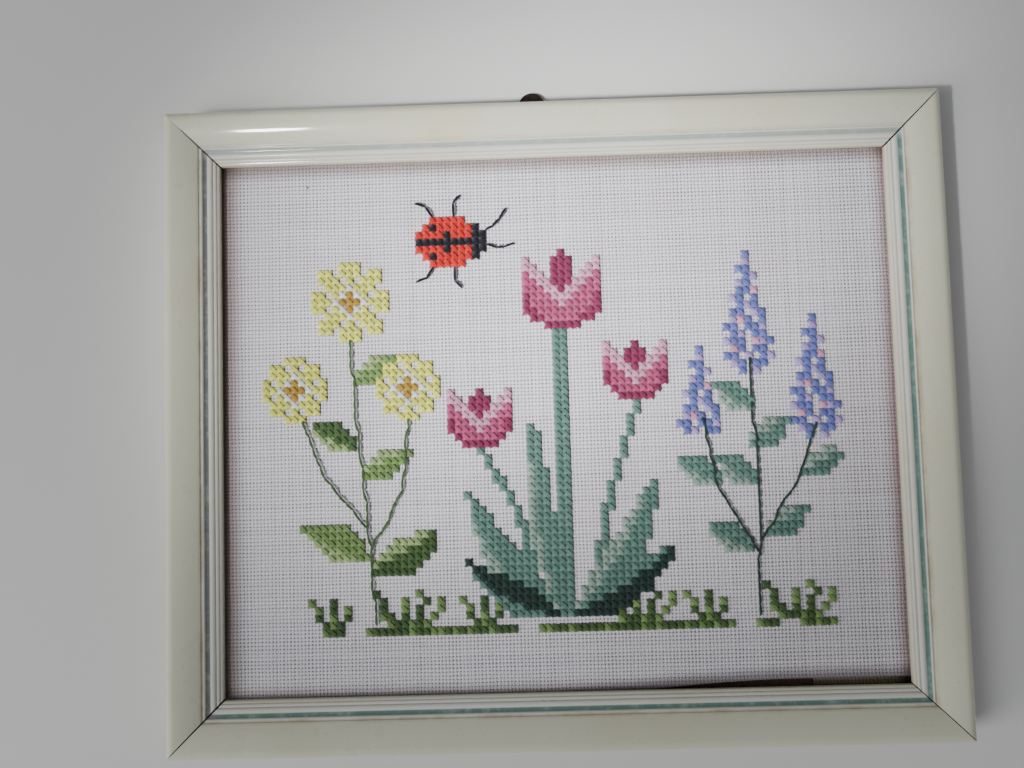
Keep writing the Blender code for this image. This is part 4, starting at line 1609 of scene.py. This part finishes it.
class EMBROIDERY_OT_embroidery(bpy.types.Operator):
    """Make the stretched linen with its crosses and lines of stitches"""

    bl_idname = "embroidery.embroidery"
    bl_label = "Embroidery"

    def execute(self, context):
        linen_settings = context.scene.embroidery_linen
        settings = context.scene.embroidery_stitches
        charts = make_charts()
        cotton = make_cotton(settings)
        reach = CELL_THREADS * math.hypot(PITCH_X, PITCH_Y)
        slope = math.atan2(PITCH_Y, PITCH_X)
        legs = ((reach, slope, LOWER_LEG_RISE), (reach, -slope, UPPER_LEG_RISE))
        cross = make_pattern_mesh(
            "cross", legs, CROSS_STRANDS, settings.strand_radius, settings.strand_spacing, cotton)
        pieces = [place_stitches(name, cross, cross_spots(chart), cotton) for name, chart in charts.items()]
        line = make_pattern_mesh(
            "back_stitch", ((PITCH_X, 0.0, LINE_RISE),), LINE_STRANDS, settings.line_radius,
            settings.line_spacing, cotton)
        pieces.append(place_stitches("back_stitches", line, line_spots(LINES), cotton))
        holes = stitched_holes(charts.values(), LINES)
        linen = make_linen(make_linen_finish(linen_settings), holes, linen_settings)
        return {"FINISHED"}


class EMBROIDERY_OT_backing(bpy.types.Operator):
    """Finish the card and the back board"""

    bl_idname = "embroidery.backing"
    bl_label = "Card and back board"

    def execute(self, context):
        for node, material in (("mount_card", make_card_finish()), ("back_board", make_board_finish())):
            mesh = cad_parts[node].data
            mesh.materials.clear()
            mesh.materials.append(material)
        return {"FINISHED"}


class EMBROIDERY_OT_metalwork(bpy.types.Operator):
    """Make the hanging plate, its tacks and the pins that hold the back"""

    bl_idname = "embroidery.metalwork"
    bl_label = "Metalwork"

    def execute(self, context):
        bronze = make_metal("dark_bronze", linear(112, 92, 84), linear(58, 46, 42), 0.35, 420.0)
        steel = make_metal("dull_steel", linear(170, 168, 164), linear(110, 104, 98), 0.3, 900.0)
        make_hanger(bronze)
        for number, below in enumerate(TACKS_AT, start=1):
            head = PLATE_BACK - FIT_GAP - TACK.head_thickness
            matrix = Matrix.Translation((HANGER_X, TOP + below, head)) @ Matrix.Rotation(math.pi, 4, "X")
            make_nail("tack_%d" % number, TACK, matrix, steel, "hanger_tack_%d" % number)
        number = 0
        for rail in RAILS:
            for along in (-rail.pins_off, rail.pins_off):
                number += 1
                head = Matrix.Translation((along, -WALL_WIDTH - PIN_SHOWING, PIN_HEIGHT))
                matrix = rail_place(rail) @ head @ Matrix.Rotation(math.pi / 2, 4, "X")
                make_nail("pin_%d" % number, PIN, matrix, steel, "back_pin_%d" % number)
        return {"FINISHED"}


class EMBROIDERY_PT_panel(bpy.types.Panel):
    """Lists the makers of the framed embroidery"""

    bl_idname = "EMBROIDERY_PT_panel"
    bl_label = "Framed embroidery"
    bl_space_type = "VIEW_3D"
    bl_region_type = "UI"
    bl_category = "Embroidery"

    def draw(self, context):
        layout = self.layout
        for names, operator in STEPS:
            for name in names:
                group = getattr(context.scene, name)
                for setting in group.__annotations__:
                    layout.prop(group, setting)
            layout.operator(operator.bl_idname)


# What the panel lists: each operator after the groups of settings that it reads
STEPS = (
    (("embroidery_stage",), EMBROIDERY_OT_stage),
    (("embroidery_moulding",), EMBROIDERY_OT_moulding),
    (("embroidery_linen", "embroidery_stitches"), EMBROIDERY_OT_embroidery),
    ((), EMBROIDERY_OT_backing),
    ((), EMBROIDERY_OT_metalwork),
)

SETTINGS = (
    ("embroidery_stage", StageSettings),
    ("embroidery_moulding", MouldingSettings),
    ("embroidery_linen", LinenSettings),
    ("embroidery_stitches", StitchSettings),
)


def register():
    """Add the settings, the operators and the panel."""
    for name, group in SETTINGS:
        bpy.utils.register_class(group)
        setattr(bpy.types.Scene, name, bpy.props.PointerProperty(type=group))
    for _, operator in STEPS:
        bpy.utils.register_class(operator)
    bpy.utils.register_class(EMBROIDERY_PT_panel)


def unregister():
    """Take the panel, the operators and the settings away."""
    bpy.utils.unregister_class(EMBROIDERY_PT_panel)
    for _, operator in reversed(STEPS):
        bpy.utils.unregister_class(operator)
    for name, group in reversed(SETTINGS):
        delattr(bpy.types.Scene, name)
        bpy.utils.unregister_class(group)


def main():
    """Make every piece."""
    register()
    bpy.ops.embroidery.stage()
    bpy.ops.embroidery.moulding()
    bpy.ops.embroidery.embroidery()
    bpy.ops.embroidery.backing()
    bpy.ops.embroidery.metalwork()


if __name__ == "__main__":
    main()
